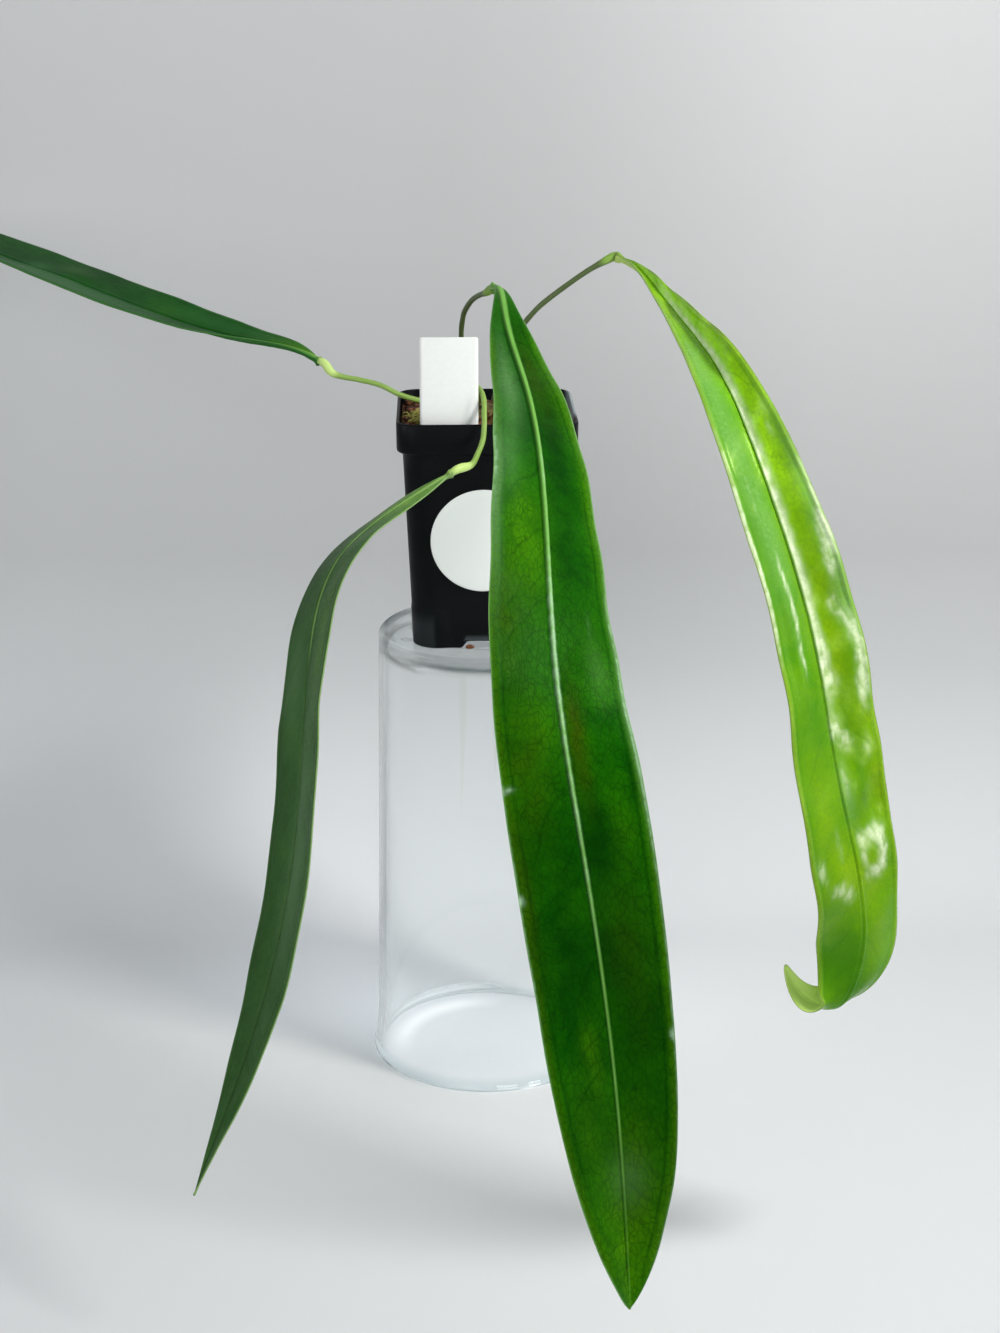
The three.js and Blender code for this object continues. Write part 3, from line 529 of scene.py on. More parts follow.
def stalk_finish(name, skin, dark, knuckle, fleck):
    """Stalk skin: fine lengthwise streaks and small flecks, paler and yellower in the knuckle."""
    stem = Finish(name)
    streaks = stem.noise(stem.where((60, 1.5, 1), sheet=True), 6, 3, 0.6)
    dots = stem.cells(stem.where(), 900, "F1")
    colour = stem.mix(stem.span(streaks, 0.35, 0.65), dark, skin)
    colour = stem.mix(stem.span(dots, 0.12, 0.3, 0.35, 0), colour, fleck)
    colour = stem.mix(stem.mark("knuckle"), colour, knuckle)
    colour = stem.mix(stem.mark("sheath"), colour, (112, 92, 52))
    stem.bump(streaks, 0.00006, 0.7)
    return stem.surface(Base_Color=colour, Roughness=0.42, Specular_IOR_Level=0.45)


OLIVE_STALK = stalk_finish("olive_stalk", (84, 104, 48), (58, 74, 34), (120, 158, 56), (110, 128, 70))
PALE_STALK = stalk_finish("pale_stalk", (148, 182, 84), (118, 154, 62), (196, 224, 128), (176, 204, 120))

# For each leaf, the blade's slot and material, then the stalk's
LEAF_SKINS = {
    "front": ("leaf_deep", DEEP_LEAF, "stalk_olive", OLIVE_STALK),
    "right": ("leaf_lime", LIME_LEAF, "stalk_olive", OLIVE_STALK),
    "hanging": ("leaf_dull", DULL_LEAF, "stalk_pale", PALE_STALK),
    "left": ("leaf_blue", BLUE_LEAF, "stalk_pale", PALE_STALK),
}


def glass_finish():
    """Clear glass with a trace of grey-green, deeper in the lip, and painted dark lines that stand in for
    refraction, nearly black where they are marked. Lamps shine through it, less at a grazing angle. The
    ceiling and the upper part of the thick end bend the light less than they would, so that they stay
    pale. A thin painted white sheen lies on surfaces seen at a slant, and painted pale reflections lie
    where they are marked."""
    glass = Finish("clear_glass", Roughness=0, IOR=1.47, Transmission_Weight=1)
    height = glass.parts(glass.where())["Z"]
    tint = glass.mix(glass.span(height, 0.002, 0.006), (0.80, 0.86, 0.86, 1), (0.975, 0.99, 0.988, 1))
    # Painted dark lines that stand in for refraction.
    painted_dark_lines = glass.mark("painted_dark_lines")
    glass.surface(Base_Color=glass.mix(painted_dark_lines, tint, (0.07, 0.11, 0.115, 1)))
    facing = glass.add("LayerWeight", {"Blend": 0.35}).outputs["Facing"]
    dim = glass.mix(glass.span(facing, 0.5, 1), (0.69, 0.71, 0.735, 1), (0.33, 0.36, 0.37, 1))
    lamp_ray = glass.add("LightPath", {}).outputs["Is Shadow Ray"]
    seen = glass.mix(glass.span(facing, 0.3, 1), (0.988, 0.995, 0.995, 1), (0.74, 0.80, 0.81, 1))
    seen = glass.mix(painted_dark_lines, seen, (0.10, 0.15, 0.16, 1))
    clear = glass.add("BsdfTransparent", {"Color": glass.mix(lamp_ray, seen, dim)})
    normal = glass.add("TexCoord", {}).outputs["Normal"]
    down = glass.span(glass.parts(normal)["Z"], -0.9, -0.5, 0.9, 0)
    ceiling = glass.times(down, glass.span(height, 0.10, 0.12))
    slab = glass.span(height, 0.1635, 0.1665, 0, 0.6)
    share = glass.most(lamp_ray, glass.most(ceiling, slab))
    both = glass.over(share, glass.shader.outputs["BSDF"], clear)
    # Painted white sheen on surfaces seen at a slant and where pale reflections are painted; lamp rays pass
    # it.
    painted_white_sheen = glass.most(glass.mark("painted_pale_reflections"), glass.span(facing, 0.45, 0.8, 0, 0.3))
    painted_white_sheen = glass.times(painted_white_sheen, glass.calc("SUBTRACT", 1, lamp_ray))
    glass.over(painted_white_sheen, both, glass.add("BsdfDiffuse", {"Color": (0.93, 0.95, 0.955, 1)}))
    return glass.material


def pot_finish():
    """Near-black moulded plastic, satin, with faint drag lines and dust, and greyer where marked: a painted
    sheen inside the collar on the right, and faint grey low on the foot.
    """
    pot = Finish("black_pot_plastic")
    grain = pot.noise(pot.where(), 2600, 2)
    drag = pot.noise(pot.where((400, 400, 20)), 1, 2)
    dust = pot.noise(pot.where(), 45, 5, 0.65)
    colour = pot.mix(pot.span(dust, 0.45, 0.75, 0, 0.5), (2, 6, 9), (10, 16, 20))
    # Painted sheen inside the collar on the right, and faint grey on the foot.
    colour = pot.mix(pot.mark("painted_collar_sheen_and_grey"), colour, (150, 162, 168))
    pot.bump(pot.calc("ADD", grain, pot.times(drag, 0.5)), 0.00003, 0.6)
    rough = pot.span(dust, 0.3, 0.7, 0.34, 0.48)
    return pot.surface(Base_Color=colour, Roughness=rough, Specular_IOR_Level=0.1)


def paper_finish(name, shade, crease_shade, rough):
    """Matt white sheet with faint fibres, and soft grey painted shade in the crease where the piece is
    marked.
    """
    paper = Finish(name)
    fibre = paper.noise(paper.where(), 700, 4, 0.6)
    colour = paper.mix(paper.span(fibre, 0.3, 0.7, 0, 0.12), shade, crease_shade)
    # Painted shade in the crease.
    colour = paper.mix(paper.mark("crease"), colour, crease_shade)
    paper.bump(fibre, 0.00004, 0.5)
    return paper.surface(Base_Color=colour, Roughness=rough, Specular_IOR_Level=0.35)


def bark_finish():
    """Bark chips: each has its own brown, with darker grain along it."""
    bark = Finish("bark_chips")
    grain = bark.noise(bark.where((900, 900, 300)), 1, 4, 0.65)
    colour = bark.mix(bark.mark("tone"), (66, 40, 26), (150, 96, 62))
    colour = bark.mix(bark.span(grain, 0.4, 0.7, 0, 0.7), colour, (44, 27, 20))
    bark.bump(grain, 0.0003, 0.8)
    return bark.surface(Base_Color=colour, Roughness=0.88, Specular_IOR_Level=0.25)


def moss_finish():
    """Moss strands from yellow-green tips to straw-brown feet."""
    moss = Finish("moss_strands")
    colour = moss.mix(moss.mark("tip"), (104, 86, 48), (166, 168, 84))
    colour = moss.mix(moss.mark("tone"), colour, (190, 176, 112))
    return moss.surface(Base_Color=colour, Roughness=0.85, Specular_IOR_Level=0.2)


def woody_finish(name, stretch, detail, dark, pale, rough, relief):
    """Two browns in a fine stretched grain, which may also stand out as relief."""
    wood = Finish(name, Roughness=rough, Specular_IOR_Level=0.3)
    grain = wood.noise(wood.where(stretch), 1, detail, 0.6)
    if relief:
        wood.bump(grain, 0.0003, relief)
    return wood.surface(Base_Color=wood.mix(wood.span(grain, 0.35, 0.65), dark, pale))


def sweep_finish():
    """Pale matt paper with painted shade, greyer halfway up the wall, behind the plant and to its right, and
    a painted bright curve of the light that the glass throws inside its own foot. It is seen from its face
    only, so that the plant shows from behind too."""
    paper = Finish("sweep_paper", Roughness=0.8, Specular_IOR_Level=0)
    place_in = paper.where()
    height = paper.parts(place_in)["Z"]
    # Painted shade: darker from the floor to halfway up the wall, a little lighter above.
    grey = paper.mix(paper.span(height, 0.01, 0.15), (0.80, 0.815, 0.83, 1), (0.565, 0.57, 0.575, 1))
    grey = paper.mix(paper.span(height, 0.15, 0.45), grey, (0.67, 0.675, 0.68, 1))
    from_axis = paper.add("VectorMath", {0: place_in, 1: tuple(AXIS * MM)}, operation="SUBTRACT").outputs[0]
    x, y, _ = paper.parts(from_axis)
    # Painted shade behind the plant and to its right.
    painted_shade = paper.times(paper.span(paper.off(x, 0.01), 0.02, 0.2, 0.13, 0), paper.span(height, 0.02, 0.12))
    painted_shade = paper.most(painted_shade, paper.span(x, 0.06, 0.3, 0, 0.1))
    grey = paper.mix(painted_shade, grey, (0, 0, 0, 1))
    radius = paper.add("VectorMath", {0: from_axis}, operation="LENGTH").outputs["Value"]
    turn = paper.calc("ARCTAN2", y, paper.times(x, -1))
    # Painted bright curve of the light that the glass throws inside its foot.
    curve_radius, curve_turn = 0.034, 0.75
    rim = paper.span(paper.off(radius, curve_radius), 0.001, 0.006, 1, 0)
    curve = paper.times(rim, paper.span(paper.off(turn, curve_turn), 0.5, 1.1, 1, 0))
    paper.surface(Base_Color=paper.mix(curve, grey, (1, 1, 1, 1)))
    back = paper.add("NewGeometry", {}).outputs["Backfacing"]
    paper.over(back, paper.shader.outputs["BSDF"], paper.add("BsdfTransparent", {}))
    return paper.material


# Leaves

def natural_curve(rows):
    """The natural cubic through rows of numbers, by the chord between their first three. Returns a
    function that gives values and slopes at shares t of the way, and the whole chord length."""
    rows = np.array(rows, float)
    count = len(rows)
    chords = np.linalg.norm(np.diff(rows[:, :3], axis=0), axis=1)
    knots = np.concatenate([[0], np.cumsum(chords)])
    total = knots[-1]
    knots = knots / total
    gaps = np.diff(knots)
    system = np.eye(count)
    target = np.zeros_like(rows)
    rise = np.diff(rows, axis=0) / gaps[:, None]
    for i in range(1, count - 1):
        system[i, i - 1 : i + 2] = gaps[i - 1], 2 * (gaps[i - 1] + gaps[i]), gaps[i]
        target[i] = 6 * (rise[i] - rise[i - 1])
    bends = np.linalg.solve(system, target)

    def at(t):
        i = np.clip(np.searchsorted(knots, t, side="right") - 1, 0, count - 2)
        gap = gaps[i][:, None]
        q = (t - knots[i])[:, None] / gap
        p = 1 - q
        value = p * rows[i] + q * rows[i + 1]
        value += ((p**3 - p) * bends[i] + (q**3 - q) * bends[i + 1]) * gap**2 / 6
        slope = rise[i] + ((1 - 3 * p * p) * bends[i] + (3 * q * q - 1) * bends[i + 1]) * gap / 6
        return value, slope

    return at, total


def outline(t, leaf):
    """The share of the full width at t: a bump that is zero at both ends and one at its widest. skew
    moves the widest place towards the tip and point draws the tip out thin."""
    place_at = t**leaf.skew
    peak = leaf.base / (leaf.base + leaf.taper)
    top = peak**leaf.base * (1 - peak) ** leaf.taper
    rise = np.minimum(1, place_at**leaf.base * (1 - place_at) ** leaf.taper / top)
    return (1 - (1 - rise) ** leaf.flat) * (1 - leaf.point * hump(1 - t, 0, 0.07, 1.3))


def blade_frame(leaf):
    """The blade's directions along, across and out of its face, and its midrib's points, at each row t,
    with the length of the whole. t is denser at both ends."""
    curve, length = natural_curve(leaf.stations)
    share = np.linspace(0, 1, leaf.rows)
    t = 0.7 * share + 0.3 * (0.5 - 0.5 * np.cos(np.pi * share))
    value, slope = curve(t)
    along = unit(slope[:, :3])
    face = value[:, 3:]
    face = unit(face - (face * along).sum(1, keepdims=True) * along)
    return t[:, None], value[:, None, :3], np.cross(face, along)[:, None], face[:, None], length


def spots(t, u, places):
    """A sum of soft round spots, each (place along, place across, length, width, strength)."""
    total = np.zeros(np.broadcast(t, u).shape)
    for *sizes, strength in places:
        along, across, length, width = (size / 100 for size in sizes)
        total += strength * np.exp(-(((t - along) / length) ** 2) - ((u - across) / width) ** 2)
    return total


def blade(name, leaf):
    """A blade over t, from neck to tip, and u, from margin to margin. The midrib follows the stations'
    curve. Each half folds up from it by an angle and carries slow waves and single bumps. Side veins
    leave the midrib at a slant, run towards the tip and end in a vein that follows the margin. The skin
    is a little pillowed between them, and the midrib stands out as a ridge or lies in a groove."""
    t, centre, across, face, length = blade_frame(leaf)
    c = np.linspace(-1, 1, leaf.columns)
    u = (c - 0.4 * np.sin(2 * np.pi * c) / (2 * np.pi))[None, :]
    neck = 1.35 * np.exp(-t / 0.02) + 0.35 * np.exp(-(1 - t) / 0.01)
    half = np.maximum(leaf.width / 2 * outline(t, leaf), neck)
    out = np.abs(u)
    right = (u > 0).astype(float)
    run = length * t
    v = half * u
    aside = np.abs(v)

    def drift(size, seed, stretch=1):
        return waves(run, stretch * v, size, leaf.seed + seed)

    def by_side(values):
        return values[0] * (1 - right) + values[1] * right

    # The middle of the blade's thickness: folded, waved and bumpy
    fold = np.radians(np.interp(t, leaf.fold_at, leaf.fold))
    ends = np.minimum(1, np.minimum(t / 0.12, (1 - t) / 0.08))
    ripple = np.sin(0.055 * run * np.pi + 1.3 * right)
    bulge = np.sin(np.pi * out) * np.sin(0.085 * run * np.pi + 2.1 * u)
    quilt = leaf.quilt * (0.4 + 0.6 * right)
    lift = half * out * np.sin(fold) + ends * (leaf.wave * out**2 * ripple + 0.5 * quilt * bulge)
    lift = lift + ends * leaf.sway * drift(55, 2) * out + spots(t, u, BUMPS[name])
    middle = centre + (half * u * np.cos(fold))[..., None] * across + lift[..., None] * face
    normal = unit(np.cross(np.gradient(middle, axis=0), np.gradient(middle, axis=1)))
    normal = normal * np.sign((normal * face).sum())

    # Side veins, the vein along the margin, and the midrib with the gutters and shoulders beside it
    inside = half - aside
    inset = leaf.inset * ease(2, 9, half)
    slant = run - (0.95 * aside + 0.55 * v * v / half)
    phase = slant / leaf.spacing + 0.43 * right + 0.3 * drift(45, 0)
    near = np.abs(phase - np.round(phase)) * leaf.spacing * 0.7
    inner = ease(0, 1.2, inside - inset) * ease(3, 8, half)
    veins = hump(near, 0, 0.36) * inner * ease(-0.5, 0.5, drift(28, 7))
    border = hump(inside, inset, 0.34) * ease(4, 8, half) * ease(-0.9, 0.3, drift(35, 9))
    rib_half = leaf.rib_half[0] + (leaf.rib_half[1] - leaf.rib_half[0]) * np.sqrt(t)
    rib_half = np.minimum(rib_half, 0.6 * half)
    ridge = hump(v, 0, rib_half, 4)
    gutter = hump(aside, 1.6 * rib_half, 0.5 * rib_half) * ease(3, 8, half) * by_side(leaf.gutter)
    shoulder = hump(aside, 2.4 * rib_half, 1.1 * rib_half) * ease(2, 6, half) * by_side(leaf.shoulder)

    # The relief of both faces, and the thickness between them
    lip = hump(inside, 0.9, 0.7) * ease(4, 9, half) * by_side(leaf.lip)
    pillow = np.abs(np.sin(np.pi * phase)) ** 0.8 * inner
    beyond = 1 - ease(0, 1, inside / np.maximum(inset, 0.1))
    rib_height = leaf.rib * (1 - t) ** 0.8 + 0.12 * np.sign(leaf.rib)
    rounding = np.sqrt(1 - out ** np.maximum(2, half / 0.25))
    thick = np.maximum(0.85 - 0.23 * out, 2 * half * np.exp(-run / 4)) * rounding
    body = leaf.pillow * pillow - leaf.roll * beyond**2 * ease(5, 10, half)
    body = body + 0.02 * drift(9, 1) + shoulder + lip
    upper = body + rib_height * ridge - gutter - leaf.vein_depth * (veins + 1.2 * border)
    lower = body - leaf.keel * (1.1 - t) * hump(v, 0, 1.5 * rib_half) - 0.1 * veins
    top = middle + normal * (upper * rounding + thick / 2)[..., None]
    bottom = middle + normal * (lower * rounding - thick / 2)[..., None]

    def wrapped(upper_side, under_side):
        return np.concatenate([upper_side, under_side[:, -2:0:-1]], axis=1)[None]

    # What the material paints
    full = np.ones_like(v)
    wander = drift(7, 5, 1.5)
    # A painted highlight line just right of the midrib on the lime leaf, and painted highlight patches,
    # varied along the side veins.
    beside = hump(v, 1.5, np.where(v > 1.5, 1.5, 0.7)) * leaf.gleam_line * ease(0.07, 0.2, t)
    beside = beside * (1 - ease(0.57, 0.68, t)) * (0.95 + 0.5 * wander)
    between = 0.65 + 0.5 * np.abs(np.sin(np.pi * (2 * phase + 0.4 * wander)))
    gleam = spots(t, u, PATCHES[name]["gleam"]) * (0.9 + 0.25 * wander) * between
    gleam = 0.8 * gleam * ease(0, 0.7, gleam) + 0.9 * beside
    pale = 1 - ease(leaf.pale_rib, leaf.pale_rib + 0.08, t)
    marks = {
        "vein": np.maximum(veins, border),
        "rib": ridge * pale * (1 - 0.75 * ease(0.82, 0.95, t)) + 0.7 * np.exp(-t / 0.02),
        # painted shade in the sunken midrib and in the gutters beside it
        "groove": leaf.groove * ridge * (1 - pale) + 1.6 * gutter * (1 - 0.4 * t),
        "band": beyond * ease(5, 9, half),
        "edge": np.exp(-inside / 0.2),
        **{mark: np.clip(spots(t, u, places), 0, 1) for mark, places in PATCHES[name].items()},
        "gleam": np.clip(gleam, 0, 1),
    }
    marks = {mark: wrapped(values, values) for mark, values in marks.items()}
    marks["under"] = wrapped(0 * full, full)
    sheet = np.stack([v, run * full], axis=-1) / 100
    slot, finish, _, _ = LEAF_SKINS[name]
    piece = skins(f"leaf_blade_{name}", wrapped(top, bottom), finish, slot, marks, wrapped(sheet, sheet))
    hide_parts(f"blade_{name}")


def stalk_line(leaf):
    """The stalk's centre line: a centripetal Catmull-Rom curve through its points, ends reflected, cut
    into steps of equal length. Its last points run on into the blade's neck."""
    curve, _ = natural_curve(leaf.stations)
    value, slope = curve(np.array([0, 0.004]))
    start, along = value[0, :3], unit(slope[0, :3])
    points = np.array([*leaf.stalk, *(start + ahead * along for ahead in (-2.6, -0.3, 1.2))])
    points = np.concatenate([[2 * points[0] - points[1]], points, [2 * points[-1] - points[-2]]])
    gaps = np.linalg.norm(np.diff(points, axis=0), axis=1) ** 0.5
    q = np.linspace(0, 1, 16, endpoint=False)[:, None]
    spans = []
    for i in range(1, len(points) - 2):
        before, here, after = gaps[i - 1 : i + 2]
        p0, p1, p2, p3 = points[i - 1 : i + 3]
        leave = ((p1 - p0) / before - (p2 - p0) / (before + here) + (p2 - p1) / here) * here
        reach = ((p2 - p1) / here - (p3 - p1) / (here + after) + (p3 - p2) / after) * here
        spans.append(
            (2 * q**3 - 3 * q**2 + 1) * p1 + (q**3 - 2 * q**2 + q) * leave
            + (3 * q**2 - 2 * q**3) * p2 + (q**3 - q**2) * reach
        )
    line = np.concatenate([*spans, points[-2:-1]])
    place_along = np.concatenate([[0], np.cumsum(np.linalg.norm(np.diff(line, axis=0), axis=1))])
    steps = np.linspace(0, place_along[-1], int(place_along[-1] / 0.45))
    return np.stack([np.interp(steps, place_along, line[:, a]) for a in range(3)], -1), steps


def stalk(name, leaf):
    """A thin stalk over its length and the turn round it: a little ribbed lengthwise, widened into a
    sheath at its foot and into a wrinkled knuckle just below the blade."""
    line, steps = stalk_line(leaf)
    around = 28
    total = steps[-1]
    s = steps[:, None]
    left = total - s
    turn = turns(around)[None]
    knuckle = np.exp(-2 * ((left - 5.5) / 6.5) ** 2)
    radius = 0.95 + 0.62 * np.exp(-s / (0.06 * total)) + 0.62 * knuckle
    radius = radius * (1 + 0.025 * np.cos(6 * turn) + 0.03 * knuckle * np.sin(5.2 * left + 2 * np.cos(turn)))
    radius = radius + 0.05 * waves(s, turn * 3, 7, leaf.seed)
    rings = tubes(line[None], radius[None], around, leaf.stalk_side)
    full = np.ones((1, *radius.shape))
    marks = {"knuckle": ease(0.15, 0.8, knuckle) * full, "sheath": 0.8 * np.exp(-s / 5) * full}
    sheet = np.stack([turn / (2 * np.pi) * full, s / 10 * full], -1)
    _, _, slot, finish = LEAF_SKINS[name]
    piece = skins(f"leaf_stalk_{name}", rings, finish, slot, marks, sheet)
    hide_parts(f"stalk_{name}")


# Glass and pot

def lathe(profile, around):
    """Rings of a profile of radius and height, turned round the glass axis."""
    turn = turns(around)
    radius, height = (values[:, None] for values in np.array(profile, float).T)
    return xyz(radius * np.cos(turn), radius * np.sin(turn), height)[None]


def arc(centre, radius, start, end, steps):
    """Points of a circular arc in the plane of a profile, from one angle to another in degrees."""
    angles = np.radians(np.linspace(start, end, steps))
    return [(centre[0] + radius * math.cos(a), centre[1] + radius * math.sin(a)) for a in angles]


def glass_stand():
    """Upturned cylinder turned from one profile: thick closed end on top with a round shoulder, thin wall
    that widens a little downwards and flares to a rounded lip. Painted dark lines that stand in for
    refraction darken the bend under the thick end in front, a ring on the top and a crescent on the
    shoulder. Painted pale reflections pale the inside of the lip behind and the upper wall on the left,
    and a painted glint sits on the shoulder."""
    shoulder, skirt, lip, wall, flare, base, edge, curve = 40.5, 42.9, 44.8, 2.8, 20, 4.6, 2.2, 4
    around, steps, ceiling = 144, 15, GLASS_TOP - base
    heights = np.array([flare, 17, 14, 11.5, 9, 7, 5, 3.2, 1.9])
    outside = skirt + (shoulder - skirt) * heights / GLASS_TOP + (lip - skirt) * (1 - heights / flare) ** 2
    under = [(r, ceiling) for r in (0.5, 10, 20, 28)]
    bend = arc((shoulder - wall - curve, ceiling - curve), curve, 90, 0, steps)
    side = [(r - wall, z) for r, z in zip(outside, heights)]
    side += arc((lip - wall / 2, wall / 2), wall / 2, 180, 360, 13)
    side += [(r, z) for r, z in zip(outside[::-1], heights[::-1])]
    round_edge = arc((shoulder - edge, GLASS_TOP - edge), edge, 0, 90, steps)
    top = [(r, GLASS_TOP) for r in (36, 34, 30, 28.8, 28, 27.2, 20, 10, 0.5)]
    rings = lathe(under + bend + side + round_edge + top, around)
    edge_start = len(under + bend + side)
    edge_end = edge_start + steps
    wall_start = edge_start - len(outside)
    inner_end = wall_start - 6  # from here on the lip's arc faces outwards
    glint, top_ring = edge_end + 1, edge_end + 4
    number = np.arange(rings.shape[1])[:, None]
    height = rings[0, :, :, 2]
    step, turn = np.arange(steps)[:, None], turns(around)
    # Painted dark lines that stand in for refraction: the bend under the thick end in front, a crescent on
    # the shoulder and a ring on the top.
    painted_dark_lines = np.zeros(height.shape)
    painted_dark_lines[len(under) : len(under) + steps] = 0.85 * hump(turn, 1.5 * np.pi, 0.95, 4) * hump(step, 6, 2.6)
    crescent = hump(turn, 2.78, 0.32, 4) * ease(6, 10, step)
    painted_dark_lines[edge_start:edge_end] = 0.9 * crescent
    painted_dark_lines[edge_end] = 0.4 * crescent[-1]
    painted_dark_lines[top_ring] = 0.35
    # Painted pale reflections: inside the lip behind, high on the wall on the left, and a glint on the
    # shoulder.
    painted_pale_reflections = 0.6 * hump(turn, 2.2, 0.85, 4) * (number < inner_end) * hump(height, 3.5, 2.2)
    left = hump(turn, 3.2, 0.8, 4) * ease(140, 158, height) * (1 - ease(167, 170, height))
    painted_pale_reflections = np.maximum(painted_pale_reflections, 0.4 * left * (number >= wall_start))
    painted_pale_reflections[glint] = 0.9 * hump(turn, 3.62, 0.06)
    piece = skins("glass_cylinder", rings, glass_finish(), "glass", {"painted_dark_lines": painted_dark_lines[None], "painted_pale_reflections": painted_pale_reflections[None]})
    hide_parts("glass_stand")


def square_round(half, corner, height):
    """Points round a square with round corners. half, corner and height may be arrays, one ring each."""
    half, corner, height = (np.asarray(a, float).reshape(-1, 1) for a in (half, corner, height))
    side = np.linspace(-1, 1, 36)[:-1]
    bend = np.radians(np.linspace(0, 90, 10)[:-1])
    flat = half - corner
    out = np.concatenate([flat + corner + 0 * side, flat + corner * np.cos(bend)], 1)
    along = np.concatenate([flat * side, flat + corner * np.sin(bend)], 1)
    quarters = [(math.cos(turn), math.sin(turn)) for turn in turns(4)]
    x = np.concatenate([out * cos - along * sin for cos, sin in quarters], 1)
    y = np.concatenate([out * sin + along * cos for cos, sin in quarters], 1)
    return xyz(x, y, height)


def body_half(z):
    """Half the outside width of the pot's body at height z."""
    return (POT_FOOT + (POT_NECK - POT_FOOT) * (z - POT_BASE) / (COLLAR_BASE - POT_BASE)) / 2


def nursery_pot():
    """Square tapered pot from one chain of square rings: floor, inner wall, rim, collar, outer wall, foot
    and underside. The foot is cut away in the middle of each side, and its corners stand proud."""
    wall, rim, top, ledge, base = 1.2, POT_RIM / 2, POT_TOP, COLLAR_BASE, POT_BASE
    floor, room, neck, foot = base + 3.2, rim - wall, body_half(ledge), body_half(base)
    inside = body_half(floor) - wall
    chain = [(1, 0.5, floor + wall), (12, 5, floor + wall), (inside - 1.5, 6.5, floor + wall)]
    chain += [(inside, 8, floor + 2 * wall)]
    chain += [(body_half(z) - wall, 6, z) for z in (215, ledge - 2, ledge + 0.4)]
    mouth_start = len(chain)
    chain += [
        (neck - 0.7, 6.2, ledge + wall), (room - 0.6, 6.2, ledge + wall),
        (room - 0.2, 6.4, ledge + wall + 0.5), (room - 0.1, 6.6, top - 0.6), (room + 0.1, 6.7, top - 0.15),
        (rim - 0.8, 6.8, top), (rim - 0.35, 7, top - 0.2), (rim - 0.12, 7, top - 0.7),
        (rim - 0.2, 7, ledge + 1.6), (rim - 0.35, 7, ledge + 0.5), (rim - 0.7, 7, ledge + 0.12),
        (rim - 1.3, 7, ledge), (neck + 0.4, 7, ledge - 0.1), (neck, 7, ledge - 0.6),
    ]
    wall_start = len(chain)
    lower = [238, 225, 210, 197, 187.5, 186.6, 186, 181, 177.5, 175.6, 174.6, 173.6, 172.9, base + 0.25]
    chain += [(body_half(z), 7 + 2 * (ledge - z) / (ledge - base), z) for z in lower]
    chain += [
        (foot - 0.3, 8.8, base), (foot - wall, 8, base), (foot - wall - 0.1, 7.8, floor - 0.3),
        (foot - wall - 0.8, 7, floor), (12, 5, floor), (1, 0.5, floor),
    ]
    rings = square_round(*np.array(chain).T)
    number = np.arange(len(chain))[:, None]
    mouth = (number >= mouth_start) & (number <= mouth_start + 6)
    outer = (number >= wall_start) & (number <= wall_start + len(lower))
    reach = np.abs(rings[..., :2]).min(-1)
    z, arch_height, arch_top, proud = rings[..., 2], 2.7, floor - 0.4, 0.35
    arch = arch_height * (1 - ease(7.2, 9.6, reach)) * (1 - (z - base) / (arch_top - base))
    rings[..., 2] = np.where(z < arch_top, z + arch, z)
    leg = ease(14.5, 15.5, reach) * (1 - ease(186, 187.2, rings[..., 2]))
    rings = rings + (proud * leg * outer)[..., None] * unit(rings * [1, 1, 0] + 1e-9)
    x, y, z = np.moveaxis(rings, -1, 0)
    low = (1 - ease(183, 186, z)) * outer
    # A painted sheen inside the collar and on its rim on the right side, and faint grey at the foot's corners
    # and in a strip low on each side.
    painted_collar_sheen_and_grey = 0.9 * mouth * ease(30, 31.5, x) * ease(-22, -10, y) + 0.06 * low * ease(18.5, 20, reach)
    painted_collar_sheen_and_grey = painted_collar_sheen_and_grey + 0.22 * low * (1 - ease(8, 9, reach)) * hump(z, 176, 0.8, 4)
    pot = skins("nursery_pot", rings[None], pot_finish(), "pot_plastic", {"painted_collar_sheen_and_grey": painted_collar_sheen_and_grey[None]})
    hole, spots_xy = 2.5, [(0, 0), (13, 13), (-13, 13), (13, -13), (-13, -13)]
    drill = [lathe([(hole, floor - 4), (hole, floor + 6)], 20) + [x, y, 0] for x, y in spots_xy]
    cutter = skins("drain_drill", np.concatenate(drill), pot.data.materials[0])
    cut = pot.modifiers.new("drain_holes", "BOOLEAN")
    cut.object = cutter
    cut.solver = "EXACT"
    bpy.context.view_layer.update()
    cut_mesh = bpy.data.meshes.new_from_object(pot.evaluated_get(bpy.context.evaluated_depsgraph_get()))
    pot.modifiers.clear()
    pot.data = cut_mesh
    bpy.data.objects.remove(cutter)
    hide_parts("pot")


def pot_label():
    """Round paper sticker: a flat disc with a soft edge that leans with the front wall."""
    radius, thick, gap, x, z = 19, 0.32, 0.12, -1.5, 213.2
    share = np.array([0.02, 0.5, 0.9, 0.985, 1, 1, 0.985, 0.9, 0.5, 0.02])
    level = np.array([1, 1, 1, 0.9, 0.6, -0.6, -0.9, -1, -1, -1]) * thick / 2
    across, up, out = np.moveaxis(lathe(np.stack([share * radius, level], -1), 96), -1, 0)
    slope = (body_half(POT_TOP) - body_half(POT_BASE)) / (POT_TOP - POT_BASE)
    points = xyz(x + across, -(body_half(z) + gap + thick / 2 + slope * up + out), z + up)
    paper = paper_finish("label_paper", (250, 253, 252), (240, 244, 244), 0.5)
    piece = skins("pot_label_disc", points, paper, "label_paper", {"crease": 0 * across})
    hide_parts("pot_label")


